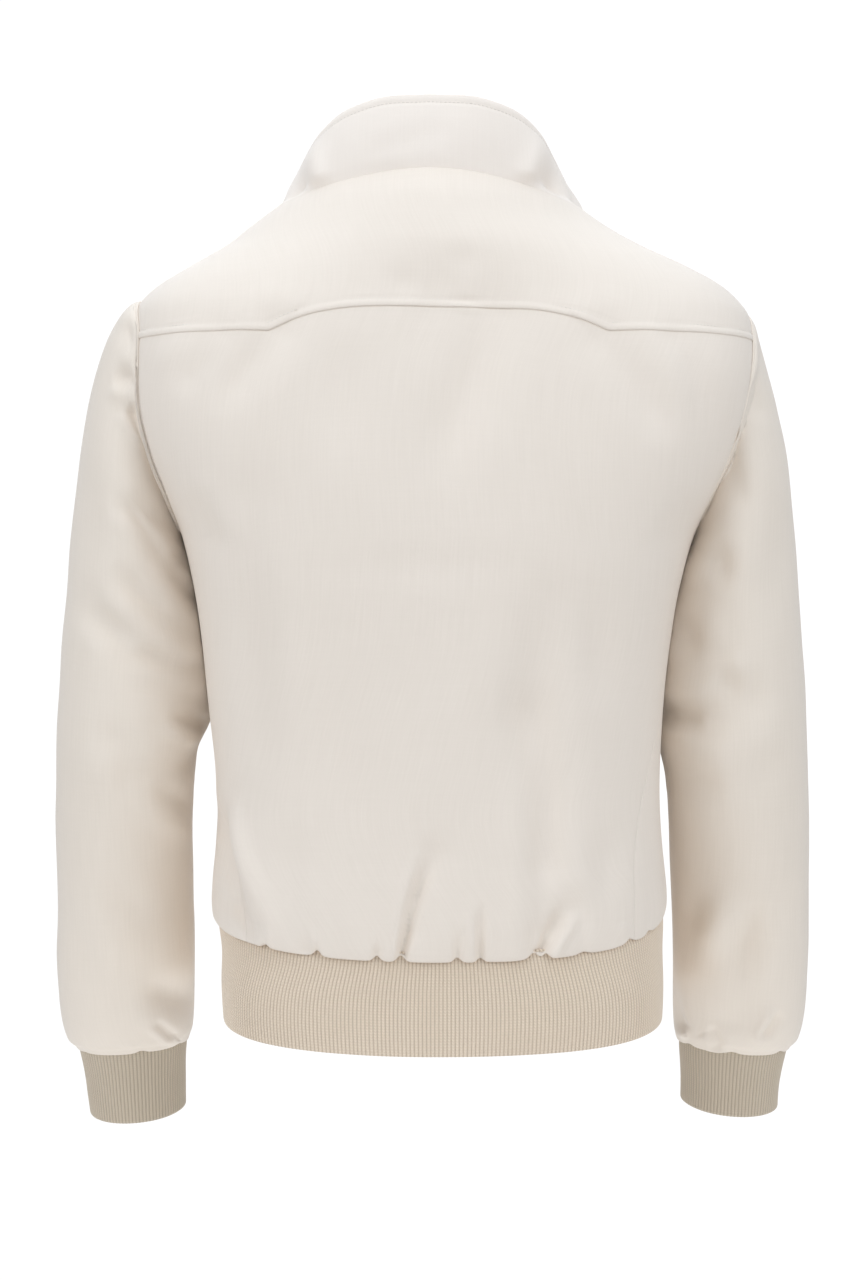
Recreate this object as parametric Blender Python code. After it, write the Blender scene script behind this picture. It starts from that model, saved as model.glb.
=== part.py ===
"""Harrington jacket in the hollow shape it has when worn.

A short zipped jacket with a shaped back yoke, set-in sleeves, an open stand collar and knitted
rib at the hem and cuffs. Metres, +Z up. The front faces -Y and the wearer's left is +X. The
origin is the middle of the neck opening, level with the neck seam at the back, where the
wearer's neck and shoulders carry the jacket.

The body pieces are thin walls on one shared form of horizontal rings. A place on the form is an
angle (0 at centre back, +90 degrees at the wearer's left side, 180 at centre front) and a
height. Pieces that are sewn together share the stations of their seam, and each is cut back from
it by half a seam gap.
"""
import math

import bmesh
import bpy
import numpy as np
from mathutils import Matrix, Vector


class Table:
    """Rows of named columns, read as smooth curves of the first column."""

    def __init__(self, names, rows):
        data = np.array(sorted(rows), float)
        self.at = data[:, 0]
        self.columns = dict(zip(names, data.T))

    def __call__(self, name, at):
        x, y = self.at, self.columns[name]
        slope = np.gradient(y, x)
        at = np.clip(at, x[0], x[-1])
        i = np.clip(np.searchsorted(x, at, side="right") - 1, 0, len(x) - 2)
        width = x[i + 1] - x[i]
        u = (at - x[i]) / width
        rise = u * u * (3 - 2 * u)
        bend = width * u * (1 - u) * ((1 - u) * slope[i] - u * slope[i + 1])
        return (1 - rise) * y[i] + rise * y[i + 1] + bend


# Driving dimensions
CLOTH = 0.0015               # shell cloth
COLLAR_CLOTH = 0.0024        # two layers and interlining
RIB = 0.0024                 # knitted rib
SEAM_GAP = 0.0003
RIB_HEIGHT = 0.0645          # at the sides
RIB_HEIGHT_BACK = 0.0025     # and how much taller it is at the back
YOKE_SIDE = -0.1238          # height of the yoke seam where it meets the armholes
YOKE_RISE = 0.0193           # how far its middle arches above that
YOKE_MIDDLE = math.radians(0.7)
YOKE_CORNER = math.radians(25.8)
NECK_SIDE = -0.0205          # height of the neck seam at the side of the neck
NECK_FRONT = -0.0850         # and at centre front
NECK_SCOOP = 0.8             # below 1 the front of the neck seam drops sooner
SHOULDER_FORWARD = 0.0120    # how far the shoulder seam lies in front of the ridge at the neck
SHOULDER_TIP_FORWARD = math.radians(8)   # and at the armhole
ARMPIT = -0.2625
ARMHOLE_TOP = {"left": -0.0895, "right": -0.0990}
ARMHOLE_SWING_BACK = {"left": math.radians(26), "right": math.radians(27)}
ARMHOLE_SWING_FRONT = math.radians(24)
ARMHOLE_FULLNESS = {"left": 0.6, "right": -0.1}     # how much squarer its upper back is than an oval
HEM = -0.5620                # height of the hem seam at the sides
HEM_DIP_BACK = 0.0155
HEM_DIP_FRONT = 0.0030
FRONT_EDGE = 0.0045          # half the gap between the fronts, where the zip shows

# The body form, a row for each ring. "square" is 0 for an ellipse.
BODY = Table(
    ("height", "half_width", "shift", "back", "front", "square"),
    (
        (0.0040, 0.0860, 0.0100, 0.0665, 0.0450, 0.00),
        (-0.0195, 0.1163, 0.0105, 0.0830, 0.0560, 0.00),
        (-0.0344, 0.1372, 0.0100, 0.0900, 0.0640, 0.00),
        (-0.0496, 0.1600, 0.0064, 0.0965, 0.0710, 0.01),
        (-0.0648, 0.1890, 0.0035, 0.1025, 0.0770, 0.02),
        (-0.0800, 0.2150, 0.0025, 0.1080, 0.0830, 0.03),
        (-0.0950, 0.2300, 0.0025, 0.1125, 0.0885, 0.04),
        (-0.1200, 0.2375, 0.0010, 0.1180, 0.0970, 0.05),
        (-0.1500, 0.2385, 0.0000, 0.1230, 0.1060, 0.06),
        (-0.1800, 0.2350, 0.0010, 0.1265, 0.1140, 0.06),
        (-0.2100, 0.2240, 0.0020, 0.1290, 0.1200, 0.06),
        (-0.2400, 0.2070, 0.0030, 0.1300, 0.1240, 0.06),
        (-0.2625, 0.1950, 0.0040, 0.1300, 0.1260, 0.06),
        (-0.3000, 0.1845, 0.0050, 0.1285, 0.1265, 0.06),
        (-0.3500, 0.1765, 0.0055, 0.1250, 0.1245, 0.05),
        (-0.4000, 0.1715, 0.0055, 0.1215, 0.1210, 0.05),
        (-0.4500, 0.1680, 0.0040, 0.1190, 0.1180, 0.05),
        (-0.5000, 0.1690, 0.0040, 0.1185, 0.1170, 0.05),
        (-0.5350, 0.1695, 0.0035, 0.1195, 0.1175, 0.05),
        (-0.5600, 0.1675, 0.0015, 0.1180, 0.1160, 0.05),
        (-0.5760, 0.1655, 0.0007, 0.1150, 0.1135, 0.06),
        (-0.6000, 0.1652, 0.0007, 0.1140, 0.1125, 0.08),
        (-0.6600, 0.1640, 0.0007, 0.1130, 0.1115, 0.08),
    ),
)

# Where each side seam runs: its angle in degrees by height. It swings back towards the hem.
SIDE_SEAM = Table(
    ("height", "left", "right"),
    (
        (-0.2625, 90, 90),
        (-0.3500, 87, 84),
        (-0.4200, 80, 66),
        (-0.4650, 71, 56),
        (-0.5050, 56, 51),
        (-0.5400, 47, 50),
        (-0.5800, 45, 49),
    ),
)

# The sleeves, a row for each section down the arm. "outer" and "inner" are the ends of the
# section seen from behind, "y" and "half_depth" its place from front to back, and "tilt" turns
# its back edge down, in degrees. x is counted towards the wearer's own side.
SLEEVE_COLUMNS = ("row", "outer_x", "outer_z", "inner_x", "inner_z", "y", "half_depth", "tilt")
SLEEVE = {
    "left": Table(
        SLEEVE_COLUMNS,
        (
            (0, 0.2335, -0.0895, 0.1990, -0.2625, 0.000, 0.060, 0),
            (1, 0.2470, -0.1000, 0.2012, -0.2660, 0.000, 0.062, 0),
            (2, 0.2585, -0.1240, 0.2032, -0.2715, 0.000, 0.065, 0),
            (3, 0.2680, -0.1600, 0.2020, -0.2800, -0.001, 0.069, 0),
            (4, 0.2750, -0.2050, 0.1960, -0.2930, -0.003, 0.072, 0),
            (5, 0.2810, -0.2550, 0.1880, -0.3130, -0.006, 0.072, 1),
            (6, 0.2862, -0.3100, 0.1810, -0.3420, -0.009, 0.070, 3),
            (7, 0.2912, -0.3650, 0.1790, -0.3820, -0.012, 0.067, 6),
            (8, 0.2952, -0.4200, 0.1880, -0.4260, -0.016, 0.063, 9),
            (9, 0.2985, -0.4750, 0.1930, -0.4700, -0.030, 0.060, 12),
            (10, 0.3008, -0.5300, 0.1950, -0.5200, -0.048, 0.057, 14),
            (11, 0.3030, -0.5850, 0.1945, -0.5720, -0.066, 0.054, 14),
            (12, 0.3025, -0.6300, 0.1960, -0.6220, -0.084, 0.050, 12),
            (13, 0.2975, -0.6590, 0.1995, -0.6510, -0.095, 0.045, 8),
            (14, 0.2890, -0.6740, 0.2035, -0.6680, -0.100, 0.039, 5),
            (15, 0.2835, -0.7250, 0.2065, -0.7200, -0.115, 0.036, 11),
        ),
    ),
    "right": Table(
        SLEEVE_COLUMNS,
        (
            (0, 0.2300, -0.0990, 0.1910, -0.2625, 0.000, 0.060, 0),
            (1, 0.2370, -0.1130, 0.1932, -0.2660, 0.000, 0.062, 0),
            (2, 0.2440, -0.1340, 0.1952, -0.2715, 0.000, 0.065, 0),
            (3, 0.2525, -0.1680, 0.1935, -0.2800, -0.001, 0.069, 0),
            (4, 0.2600, -0.2050, 0.1870, -0.2930, -0.003, 0.072, 0),
            (5, 0.2655, -0.2550, 0.1790, -0.3130, -0.006, 0.072, 1),
            (6, 0.2705, -0.3100, 0.1710, -0.3420, -0.009, 0.070, 3),
            (7, 0.2750, -0.3650, 0.1670, -0.3820, -0.012, 0.067, 6),
            (8, 0.2785, -0.4200, 0.1680, -0.4260, -0.017, 0.063, 9),
            (9, 0.2818, -0.4750, 0.1745, -0.4700, -0.030, 0.060, 12),
            (10, 0.2843, -0.5300, 0.1775, -0.5200, -0.048, 0.057, 14),
            (11, 0.2868, -0.5850, 0.1810, -0.5720, -0.066, 0.054, 14),
            (12, 0.2873, -0.6300, 0.1840, -0.6220, -0.084, 0.050, 12),
            (13, 0.2830, -0.6590, 0.1870, -0.6510, -0.095, 0.045, 8),
            (14, 0.2750, -0.6740, 0.1895, -0.6680, -0.100, 0.039, 5),
            (15, 0.2700, -0.7195, 0.1920, -0.7145, -0.114, 0.036, 11),
        ),
    ),
}
SLEEVE_CLEAR = 0.0030        # least distance of the sleeves from the body
CLEAR_ROWS = 0.5             # rows over which it is reached
FIT_ROWS = 2.2               # rows over which the armhole's shape fades into an oval
FIT_END = 8
BISECTIONS = 30

# The collar's top edge: where the line that starts at each angle of the neck seam ends.
# "out" is counted from the middle of the neck, COLLAR_MIDDLE, which fades to 0 at the front.
COLLAR_MIDDLE = 0.0100
COLLAR_CENTRE_Y = -0.0100    # where its lines point away from, for its roundness
COLLAR_EDGE = Table(
    ("angle", "out", "y", "z"),
    (
        (0, 0.0000, 0.0755, 0.0520),
        (25, 0.0380, 0.0715, 0.0500),
        (42, 0.0640, 0.0580, 0.0430),
        (58, 0.0810, 0.0370, 0.0325),
        (75, 0.0925, 0.0080, 0.0215),
        (90, 0.1030, -0.0250, 0.0090),
        (110, 0.1175, -0.0640, -0.0080),
        (140, 0.1060, -0.0980, -0.0290),
        (180, 0.0520, -0.1130, -0.0490),
    ),
)
COLLAR_BELLY = 0.0025        # how far the collar rounds out between its edges

# The largest folds of the body, as troughs (negative depth) and ridges: the ends of each seen
# from behind or in front, its depth and how wide it spreads to each side.
# Columns: face, x0, z0, x1, z1, depth, spread.
BODY_FOLDS = (
    ("back", -0.078, -0.320, -0.064, -0.400, -0.0030, 0.020),
    ("back", -0.064, -0.400, -0.074, -0.505, -0.0030, 0.016),
    ("back", 0.140, -0.250, 0.135, -0.420, -0.0025, 0.022),
    ("back", -0.088, -0.540, -0.066, -0.572, -0.0045, 0.012),
    ("back", 0.008, -0.500, 0.028, -0.572, -0.0035, 0.012),
    ("front", 0.070, -0.330, 0.060, -0.480, -0.0030, 0.020),
    ("front", -0.080, -0.300, -0.066, -0.450, -0.0030, 0.020),
)

# The largest folds of the sleeves: angle round the sleeve (0 outside, 90 back, 180 inside) and
# row down it, at both ends. Depths and spreads count on a sleeve laid out at its mean radius.
SLEEVE_RADIUS = 0.055
SLEEVE_ROW_HEIGHT = 0.050
# Columns: side, angle0, row0, angle1, row1, depth, spread.
SLEEVE_FOLDS = (
    ("left", 95, 4.2, 140, 5.2, -0.0050, 0.016),
    ("left", 60, 6.1, 150, 7.3, -0.0050, 0.016),
    ("left", 100, 8.3, 170, 8.2, -0.0040, 0.014),
    ("right", 80, 7.2, 150, 7.4, -0.0050, 0.016),
    ("right", 60, 10.2, 100, 12.2, -0.0040, 0.018),
    ("left", 230, 6.6, 290, 7.6, -0.0040, 0.018),
    ("right", 230, 6.4, 290, 7.4, -0.0040, 0.018),
)

# Stations along the seams
SHOULDER_STEPS = 5
NECK_BACK_STEPS = 12
NECK_FRONT_STEPS = 6
ARMHOLE_YOKE_STEPS = 4
ARMHOLE_BACK_STEPS = 8
ARMHOLE_FRONT_STEPS = 12
SIDE_STEPS = 10
SLEEVE_ROWS = (0, 0.5, 1, 2, 3, 4, 5, 6, 6.7, 7.4, 8.2, 9, 10, 11, 12, 12.7, 13.4, 14)
CUFF_ROWS = (14, 15)
RIB_ROWS = (0, 0.12, 0.55, 1)
COLLAR_ROWS = (0, 0.35, 0.7, 1)

# Zip
CHAIN_HALF = 0.00275
CHAIN_PROUD = 0.0002
CHAIN_THICK = 0.0026
TAPE_WIDTH = 0.0100
TAPE_THICK = 0.0007
SLIDER_CENTRE = -0.0960      # height
SLIDER_LENGTH = 0.0110
SLIDER_HALF = 0.0046
PLATE_FRONT = (0.0003, 0.0017)   # how far the front plate's faces stand off the form
PLATE_BACK = (-0.0042, -0.0029)
SLIDER_WEB = 0.0024
BRIDGE_HALF_WIDTH = 0.0010
BRIDGE_REACH = 0.0036        # half its length along the zip
BRIDGE_POST = 0.0012
BRIDGE_INSIDE = 0.0049       # stand-off of the bar's underside
BRIDGE_TOP = 0.0059
TAB_PIVOT_ALONG = -0.0010    # the tab's cross bar, below the slider's centre
TAB_PIVOT_OFF = 0.0033       # and off the form
TAB_HALF_THICK = 0.0008
TAB_HALF_WIDTH = 0.0036
TAB_HOLE_HALF = 0.0016
TAB_HOLE_END = 0.0060
TAB_LENGTH = 0.0240
BOX_HEIGHT = 0.0110
BOX_PROUD = 0.0009
BOX_THICK = 0.0041

# Colours, linear
CREAM = (0.80, 0.73, 0.67, 1)
RIB_BEIGE = (0.62, 0.52, 0.42, 1)
TAPE_CREAM = (0.74, 0.67, 0.60, 1)
NICKEL = (0.62, 0.60, 0.56, 1)


def body_point(angle, z):
    """The body form's point at an angle and a height."""
    square = BODY("square", z)
    deep = np.where(np.cos(angle) > 0, BODY("back", z), BODY("front", z))
    shift = BODY("shift", z) * np.where(np.cos(angle) > 0, 1, np.sin(angle) ** 2)
    across = (np.sin(angle) + square * np.sin(3 * angle)) / (1 - square)
    along = (np.cos(angle) - square * np.cos(3 * angle)) / (1 - square)
    return np.stack((shift + BODY("half_width", z) * across, deep * along, z + 0 * angle), -1)


def fold_profile(distance, spread):
    """1 on a fold's line, falling softly to 0."""
    return np.exp(-((distance / spread) ** 2))


def distance_to_line(point, start, end):
    """Distance of points from the segment between two points, in a plane."""
    along = end - start
    share = np.clip(((point - start) @ along) / (along @ along), 0, 1)
    return np.linalg.norm(point - (start + share[..., None] * along), axis=-1)


def body_fold_depth(points):
    """How far the largest folds move each point of the body form outwards."""
    depth = np.zeros(points.shape[:-1])
    for face, x0, z0, x1, z1, fold, spread in BODY_FOLDS:
        on_face = points[..., 1] > 0 if face == "back" else points[..., 1] < 0
        away = distance_to_line(points[..., [0, 2]], np.array((x0, z0)), np.array((x1, z1)))
        depth += np.where(on_face, fold * fold_profile(away, spread), 0)
    return depth


def folded_body(angle, z):
    """The body form with its largest folds, which stand out of the front and back faces."""
    points = body_point(angle, z)
    points[..., 1] += body_fold_depth(points) * np.sign(np.cos(angle))
    return points


def neck_height(angle):
    """Height of the neck seam at an angle."""
    turn = np.sin(angle)
    front = NECK_SIDE + (NECK_FRONT - NECK_SIDE) * (1 - np.abs(turn)) ** NECK_SCOOP
    return np.where(np.cos(angle) > 0, NECK_SIDE * turn ** 2, front)


def hem_height(angle):
    """Height of the hem seam at an angle."""
    dip = np.where(np.cos(angle) > 0, HEM_DIP_BACK, HEM_DIP_FRONT)
    return HEM - dip * np.cos(angle) ** 2


def yoke_height(angle):
    """Height of the yoke seam: level ends and an arched middle."""
    share = np.abs((angle - YOKE_MIDDLE) / YOKE_CORNER)
    return YOKE_SIDE + YOKE_RISE * np.clip(1 - share ** 3, 0, 1)


def front_edge_angle(z):
    """The angle at which a front panel's edge runs beside the zip."""
    square = BODY("square", z)
    return math.pi - FRONT_EDGE * (1 - square) / (BODY("half_width", z) * (1 + 3 * square))


def armhole_place(side, turn):
    """Angle and height on an armhole. turn is 0 at the top, 90 degrees behind, 180 at the armpit."""
    top = ARMHOLE_TOP[side]
    swing = np.where(np.sin(turn) > 0, ARMHOLE_SWING_BACK[side], ARMHOLE_SWING_FRONT)
    full = 1 + ARMHOLE_FULLNESS[side] * np.clip(np.cos(turn), 0, 1) ** 2 * (np.sin(turn) > 0)
    angle = math.pi / 2 - swing * full * np.sin(turn)
    return angle, (top + ARMPIT) / 2 + (top - ARMPIT) / 2 * np.cos(turn)


def armhole_turns(side):
    """Turns of the armhole's stations: shoulder seam, yoke seam, armpit, shoulder seam."""
    top = ARMHOLE_TOP[side]
    start = -math.asin(SHOULDER_TIP_FORWARD / ARMHOLE_SWING_FRONT)
    yoke = math.acos((YOKE_SIDE - (top + ARMPIT) / 2) / ((top - ARMPIT) / 2))
    return np.concatenate((
        np.linspace(start, yoke, ARMHOLE_YOKE_STEPS + 1)[:-1],
        np.linspace(yoke, math.pi, ARMHOLE_BACK_STEPS + 1)[:-1],
        np.linspace(math.pi, start + 2 * math.pi, ARMHOLE_FRONT_STEPS + 1),
    ))


def armhole_stations(side):
    """Angle and height of the armhole's stations, as rows."""
    return np.stack(armhole_place(side, armhole_turns(side)), -1)


def shoulder_neck_angle():
    """The angle at which the shoulder seam meets the neck seam."""
    return math.pi / 2 + math.asin(SHOULDER_FORWARD / float(BODY("front", NECK_SIDE)))


def shoulder_stations(side):
    """The shoulder seam from armhole to neck."""
    start = armhole_stations(side)[0]
    angle = shoulder_neck_angle()
    end = np.array((angle, float(neck_height(angle))))
    return np.linspace(start, end, SHOULDER_STEPS + 1)


def neck_front_stations():
    """The neck seam from the shoulder seam to the front edge."""
    angles = np.linspace(shoulder_neck_angle(), float(front_edge_angle(NECK_FRONT)), NECK_FRONT_STEPS + 1)
    return np.stack((angles, neck_height(angles)), -1)


def side_stations(side):
    """The side seam from hem to armpit."""
    low = float(hem_height(math.radians(SIDE_SEAM(side, HEM))))
    heights = np.linspace(low, ARMPIT, SIDE_STEPS + 1)
    return np.stack((np.radians(SIDE_SEAM(side, heights)), heights), -1)


def hem_stations(start, end, steps):
    """The hem seam between two angles."""
    angles = np.linspace(start, end, steps + 1)
    return np.stack((angles, hem_height(angles)), -1)


def mirrored(places):
    """The same places on the wearer's right side."""
    return places * (-1, 1)


def fill_patch(bottom, top, first, last):
    """A grid of (angle, height) places between four edges that meet at their ends."""
    across = np.linspace(0, 1, len(bottom))[None, :, None]
    up = np.linspace(0, 1, len(first))[:, None, None]
    rows = (1 - up) * bottom[None] + up * top[None]
    columns = (1 - across) * first[:, None] + across * last[:, None]
    corners = (
        (1 - up) * ((1 - across) * bottom[0] + across * bottom[-1])
        + up * ((1 - across) * top[0] + across * top[-1])
    )
    return rows + columns - corners


def back_panel_places():
    """Left side to right side, hem to yoke seam."""
    edges = {}
    for side in ("left", "right"):
        armhole = armhole_stations(side)[ARMHOLE_YOKE_STEPS:ARMHOLE_YOKE_STEPS + ARMHOLE_BACK_STEPS + 1]
        edges[side] = np.concatenate((side_stations(side), armhole[::-1][1:]))
    first, last = edges["left"], mirrored(edges["right"])
    steps = 2 * SHOULDER_STEPS + NECK_BACK_STEPS
    return fill_patch(
        hem_stations(first[0, 0], last[0, 0], steps),
        yoke_seam_stations(first[-1, 0], last[-1, 0], steps),
        first,
        last,
    )


def yoke_seam_stations(start, end, steps):
    """The yoke seam between the armholes."""
    angles = np.linspace(start, end, steps + 1)
    return np.stack((angles, yoke_height(angles)), -1)


def yoke_places():
    """Left armhole to right armhole, yoke seam to shoulder and neck seams."""
    left = armhole_stations("left")[:ARMHOLE_YOKE_STEPS + 1][::-1]
    right = mirrored(armhole_stations("right")[:ARMHOLE_YOKE_STEPS + 1][::-1])
    neck = np.linspace(shoulder_neck_angle(), -shoulder_neck_angle(), NECK_BACK_STEPS + 1)
    top = np.concatenate((
        shoulder_stations("left")[:-1],
        np.stack((neck, neck_height(neck)), -1),
        mirrored(shoulder_stations("right")[::-1][1:]),
    ))
    bottom = yoke_seam_stations(left[0, 0], right[0, 0], len(top) - 1)
    return fill_patch(bottom, top, left, right)


def front_places(side):
    """Side to centre front, hem to shoulder and neck seams."""
    armhole = armhole_stations(side)[ARMHOLE_YOKE_STEPS + ARMHOLE_BACK_STEPS:]
    outer = np.concatenate((side_stations(side), armhole[1:]))
    top = np.concatenate((shoulder_stations(side), neck_front_stations()[1:]))
    heights = np.linspace(float(hem_height(math.pi)), NECK_FRONT, len(outer))
    centre = np.stack((front_edge_angle(heights), heights), -1)
    bottom = hem_stations(outer[0, 0], centre[0, 0], len(top) - 1)
    centre[0, 1], centre[-1] = bottom[-1, 1], top[-1]
    return fill_patch(bottom, top, outer, centre)


def rib_places():
    """The hem rib from one front edge round the back to the other, seam to lower edge."""
    back = back_panel_places()[0]
    left, right = front_places("left")[0], mirrored(front_places("right")[0])
    seam = np.concatenate((left[::-1][:-1], back[:-1], right))
    height = RIB_HEIGHT + RIB_HEIGHT_BACK * np.clip(np.cos(seam[:, 0]), 0, 1) ** 2
    drop = np.stack((0 * height, height), -1)
    return np.stack([seam - drop * share for share in RIB_ROWS])


def sleeve_section(side, row, turn):
    """A plain oval section of the sleeve, before it is fitted to the armhole."""
    table = SLEEVE[side]
    outer = np.stack((table("outer_x", row), table("outer_z", row)), -1)
    inner = np.stack((table("inner_x", row), table("inner_z", row)), -1)
    tilt = np.radians(table("tilt", row))
    middle, half = (outer + inner) / 2, (outer - inner) / 2
    depth = table("half_depth", row) * np.sin(turn)
    x = middle[..., 0] + half[..., 0] * np.cos(turn)
    y = table("y", row) + depth * np.cos(tilt)
    z = middle[..., 1] + half[..., 1] * np.cos(turn) - depth * np.sin(tilt)
    return np.stack((x, y, z), -1)


def body_reach(side, y, z):
    """How far the body form reaches out to one side at a depth and a height."""
    sign = 1 if side == "left" else -1
    low, high = 0 * y, math.pi + 0 * y
    for _ in range(BISECTIONS):
        middle = (low + high) / 2
        behind = body_point(sign * middle, z)[..., 1] > y
        low, high = np.where(behind, middle, low), np.where(behind, high, middle)
    return sign * body_point(sign * low, z)[..., 0]


def sleeve_fold_depth(side, row, turn):
    """How far the largest folds move the sleeve outwards."""
    place = np.stack((turn * SLEEVE_RADIUS, row * SLEEVE_ROW_HEIGHT), -1)
    depth = np.zeros(place.shape[:-1])
    for fold_side, angle0, row0, angle1, row1, fold, spread in SLEEVE_FOLDS:
        if fold_side == side:
            start = np.array((math.radians(angle0) * SLEEVE_RADIUS, row0 * SLEEVE_ROW_HEIGHT))
            end = np.array((math.radians(angle1) * SLEEVE_RADIUS, row1 * SLEEVE_ROW_HEIGHT))
            depth += fold * fold_profile(distance_to_line(place, start, end), spread)
    return depth


def sleeve_points(side, rows):
    """The sleeve's grid of points: a closed ring of armhole stations for each row."""
    turns = armhole_turns(side)[:-1][None, :] % (2 * math.pi)
    rows = np.array(rows, float)[:, None]
    angle, height = armhole_place(side, turns)
    sign = 1 if side == "left" else -1
    hole = body_point(sign * angle, height) * (sign, 1, 1)
    fit = np.exp(-((rows / FIT_ROWS) ** 2)) * np.clip(1 - rows / FIT_END, 0, 1)
    oval = sleeve_section(side, rows, turns)
    points = oval + fit[..., None] * (hole - sleeve_section(side, 0 * rows, turns))
    out = np.stack((np.cos(turns) + 0 * rows, np.sin(turns) + 0 * rows, 0 * (rows + turns)), -1)
    points = points + sleeve_fold_depth(side, rows + 0 * turns, turns + 0 * rows)[..., None] * out
    clear = SLEEVE_CLEAR * (1 - np.exp(-((rows / CLEAR_ROWS) ** 2)))
    reach = body_reach(side, points[..., 1], points[..., 2]) + clear
    points[..., 0] = np.maximum(points[..., 0], np.where(rows > 0, reach, points[..., 0]))
    return points * (sign, 1, 1)


def neck_seam_angles():
    """Stations of the whole neck seam, from the left front edge round the back to the right."""
    front = neck_front_stations()[:, 0]
    back = np.linspace(shoulder_neck_angle(), -shoulder_neck_angle(), NECK_BACK_STEPS + 1)
    return np.concatenate((front[::-1][:-1], back, -front[1:]))


def collar_points():
    """The collar's grid, neck seam to top edge."""
    angles = neck_seam_angles()
    seam = folded_body(angles, neck_height(angles))
    degrees = np.abs(np.degrees(angles))
    middle = COLLAR_MIDDLE * np.clip((180 - degrees) / 90, 0, 1)
    out = np.sign(angles) * COLLAR_EDGE("out", degrees)
    edge = np.stack((middle + out, COLLAR_EDGE("y", degrees), COLLAR_EDGE("z", degrees)), -1)
    away = edge - (COLLAR_MIDDLE, COLLAR_CENTRE_Y, 0)
    away[:, 2] = 0
    away /= np.linalg.norm(away, axis=-1)[:, None]
    return np.stack([
        seam + (edge - seam) * share + away * COLLAR_BELLY * math.sin(math.pi * share)
        for share in COLLAR_ROWS
    ])


def grid_normals(points, ring):
    """Outward unit normals of a grid of points; ring closes it across its columns."""
    if ring:
        across = np.roll(points, -1, 1) - np.roll(points, 1, 1)
    else:
        across = np.gradient(points, axis=1)
    normals = np.cross(across, np.gradient(points, axis=0))
    return normals / np.linalg.norm(normals, axis=-1)[..., None]


def seam_key(point):
    """One name for all stations within a tenth of a millimetre."""
    return tuple(np.round(point, 4))


class Cloth:
    """One cut piece: its grid of outer points, its thickness and whether it is a ring."""

    def __init__(self, name, group, points, thick, colour, ring=False, flip=False):
        self.name = name
        self.group = group
        self.points = points
        self.thick = thick
        self.colour = colour
        self.ring = ring
        self.flip = flip
        self.seam_points = points.copy()
        self.normals = grid_normals(points, ring) * (-1 if flip else 1)
        self.own_normals = self.normals.copy()

    def border(self):
        """Row and column of each station on the piece's edges."""
        rows, columns = self.points.shape[:2]
        for row in range(rows):
            for column in range(columns):
                on_side = not self.ring and column in (0, columns - 1)
                if row in (0, rows - 1) or on_side:
                    yield row, column

    def inset(self):
        """Cut the piece back from its seams by half a seam gap."""
        original = self.points.copy()
        self.pull_edge(original, 0, 0, 1)
        self.pull_edge(original, 0, -1, -2)
        if not self.ring:
            self.pull_edge(original, 1, 0, 1)
            self.pull_edge(original, 1, -1, -2)

    def pull_edge(self, original, axis, edge, inner):
        """Move one edge towards the piece, square to the seam."""
        line = original.take(edge, axis)
        inward = original.take(inner, axis) - line
        if self.ring:
            tangent = np.roll(line, -1, 0) - np.roll(line, 1, 0)
        else:
            tangent = np.gradient(line, axis=0)
        tangent /= np.linalg.norm(tangent, axis=-1)[:, None]
        inward -= (inward * tangent).sum(-1)[:, None] * tangent
        inward /= np.linalg.norm(inward, axis=-1)[:, None]
        moved = self.points[edge] if axis == 0 else self.points[:, edge]
        moved += inward * SEAM_GAP / 2

    def build(self):
        """Make the closed wall."""
        build_wall(self.name, self.points, self.normals, self.thick, self.ring, self.flip, self.colour)


def share_seam_normals(pieces):
    """Let pieces that meet at a station thicken in the same direction there, halfway between
    those of the groups that meet."""
    total = {}
    for piece in pieces:
        for row, column in piece.border():
            groups = total.setdefault(seam_key(piece.points[row, column]), {})
            groups[piece.group] = groups.get(piece.group, 0) + piece.normals[row, column]
    for piece in pieces:
        for row, column in piece.border():
            groups = total[seam_key(piece.points[row, column])].values()
            normal = sum(group / np.linalg.norm(group) for group in groups)
            piece.normals[row, column] = normal / np.linalg.norm(normal)


def build_wall(name, outer, normals, thick, ring, flip, colour):
    """A closed wall between a grid of points and the same grid moved in by the thickness."""
    rows, columns = outer.shape[:2]
    inner = outer - normals * thick
    mesh = bmesh.new()
    front = [[mesh.verts.new(point) for point in line] for line in outer]
    back = [[mesh.verts.new(point) for point in line] for line in inner]
    spans = columns if ring else columns - 1

    def face(*corners):
        mesh.faces.new(corners[::-1] if flip else corners)

    for row in range(rows - 1):
        for column in range(spans):
            after = (column + 1) % columns
            face(front[row][column], front[row][after], front[row + 1][after], front[row + 1][column])
            face(back[row][column], back[row + 1][column], back[row + 1][after], back[row][after])
    for column in range(spans):
        after = (column + 1) % columns
        face(front[0][column], back[0][column], back[0][after], front[0][after])
        face(front[-1][column], front[-1][after], back[-1][after], back[-1][column])
    if not ring:
        for row in range(rows - 1):
            face(front[row][0], front[row + 1][0], back[row + 1][0], back[row][0])
            face(front[row][-1], back[row][-1], back[row + 1][-1], front[row + 1][-1])
    add_object(name, mesh, colour)


def make_material(name, colour):
    """A plain Principled material for one piece."""
    material = bpy.data.materials.new(name)
    material.use_nodes = True
    shader = material.node_tree.nodes["Principled BSDF"]
    shader.inputs["Base Color"].default_value = colour
    metal = colour is NICKEL
    shader.inputs["Metallic"].default_value = 1.0 if metal else 0.0
    shader.inputs["Roughness"].default_value = 0.3 if metal else 0.85
    return material


def add_object(name, mesh, colour):
    """Turn a bmesh into a named object with its own material."""
    data = bpy.data.meshes.new(name)
    mesh.to_mesh(data)
    mesh.free()
    data.materials.append(make_material(name, colour))
    part = bpy.data.objects.new(name, data)
    bpy.context.scene.collection.objects.link(part)
    return part


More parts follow.
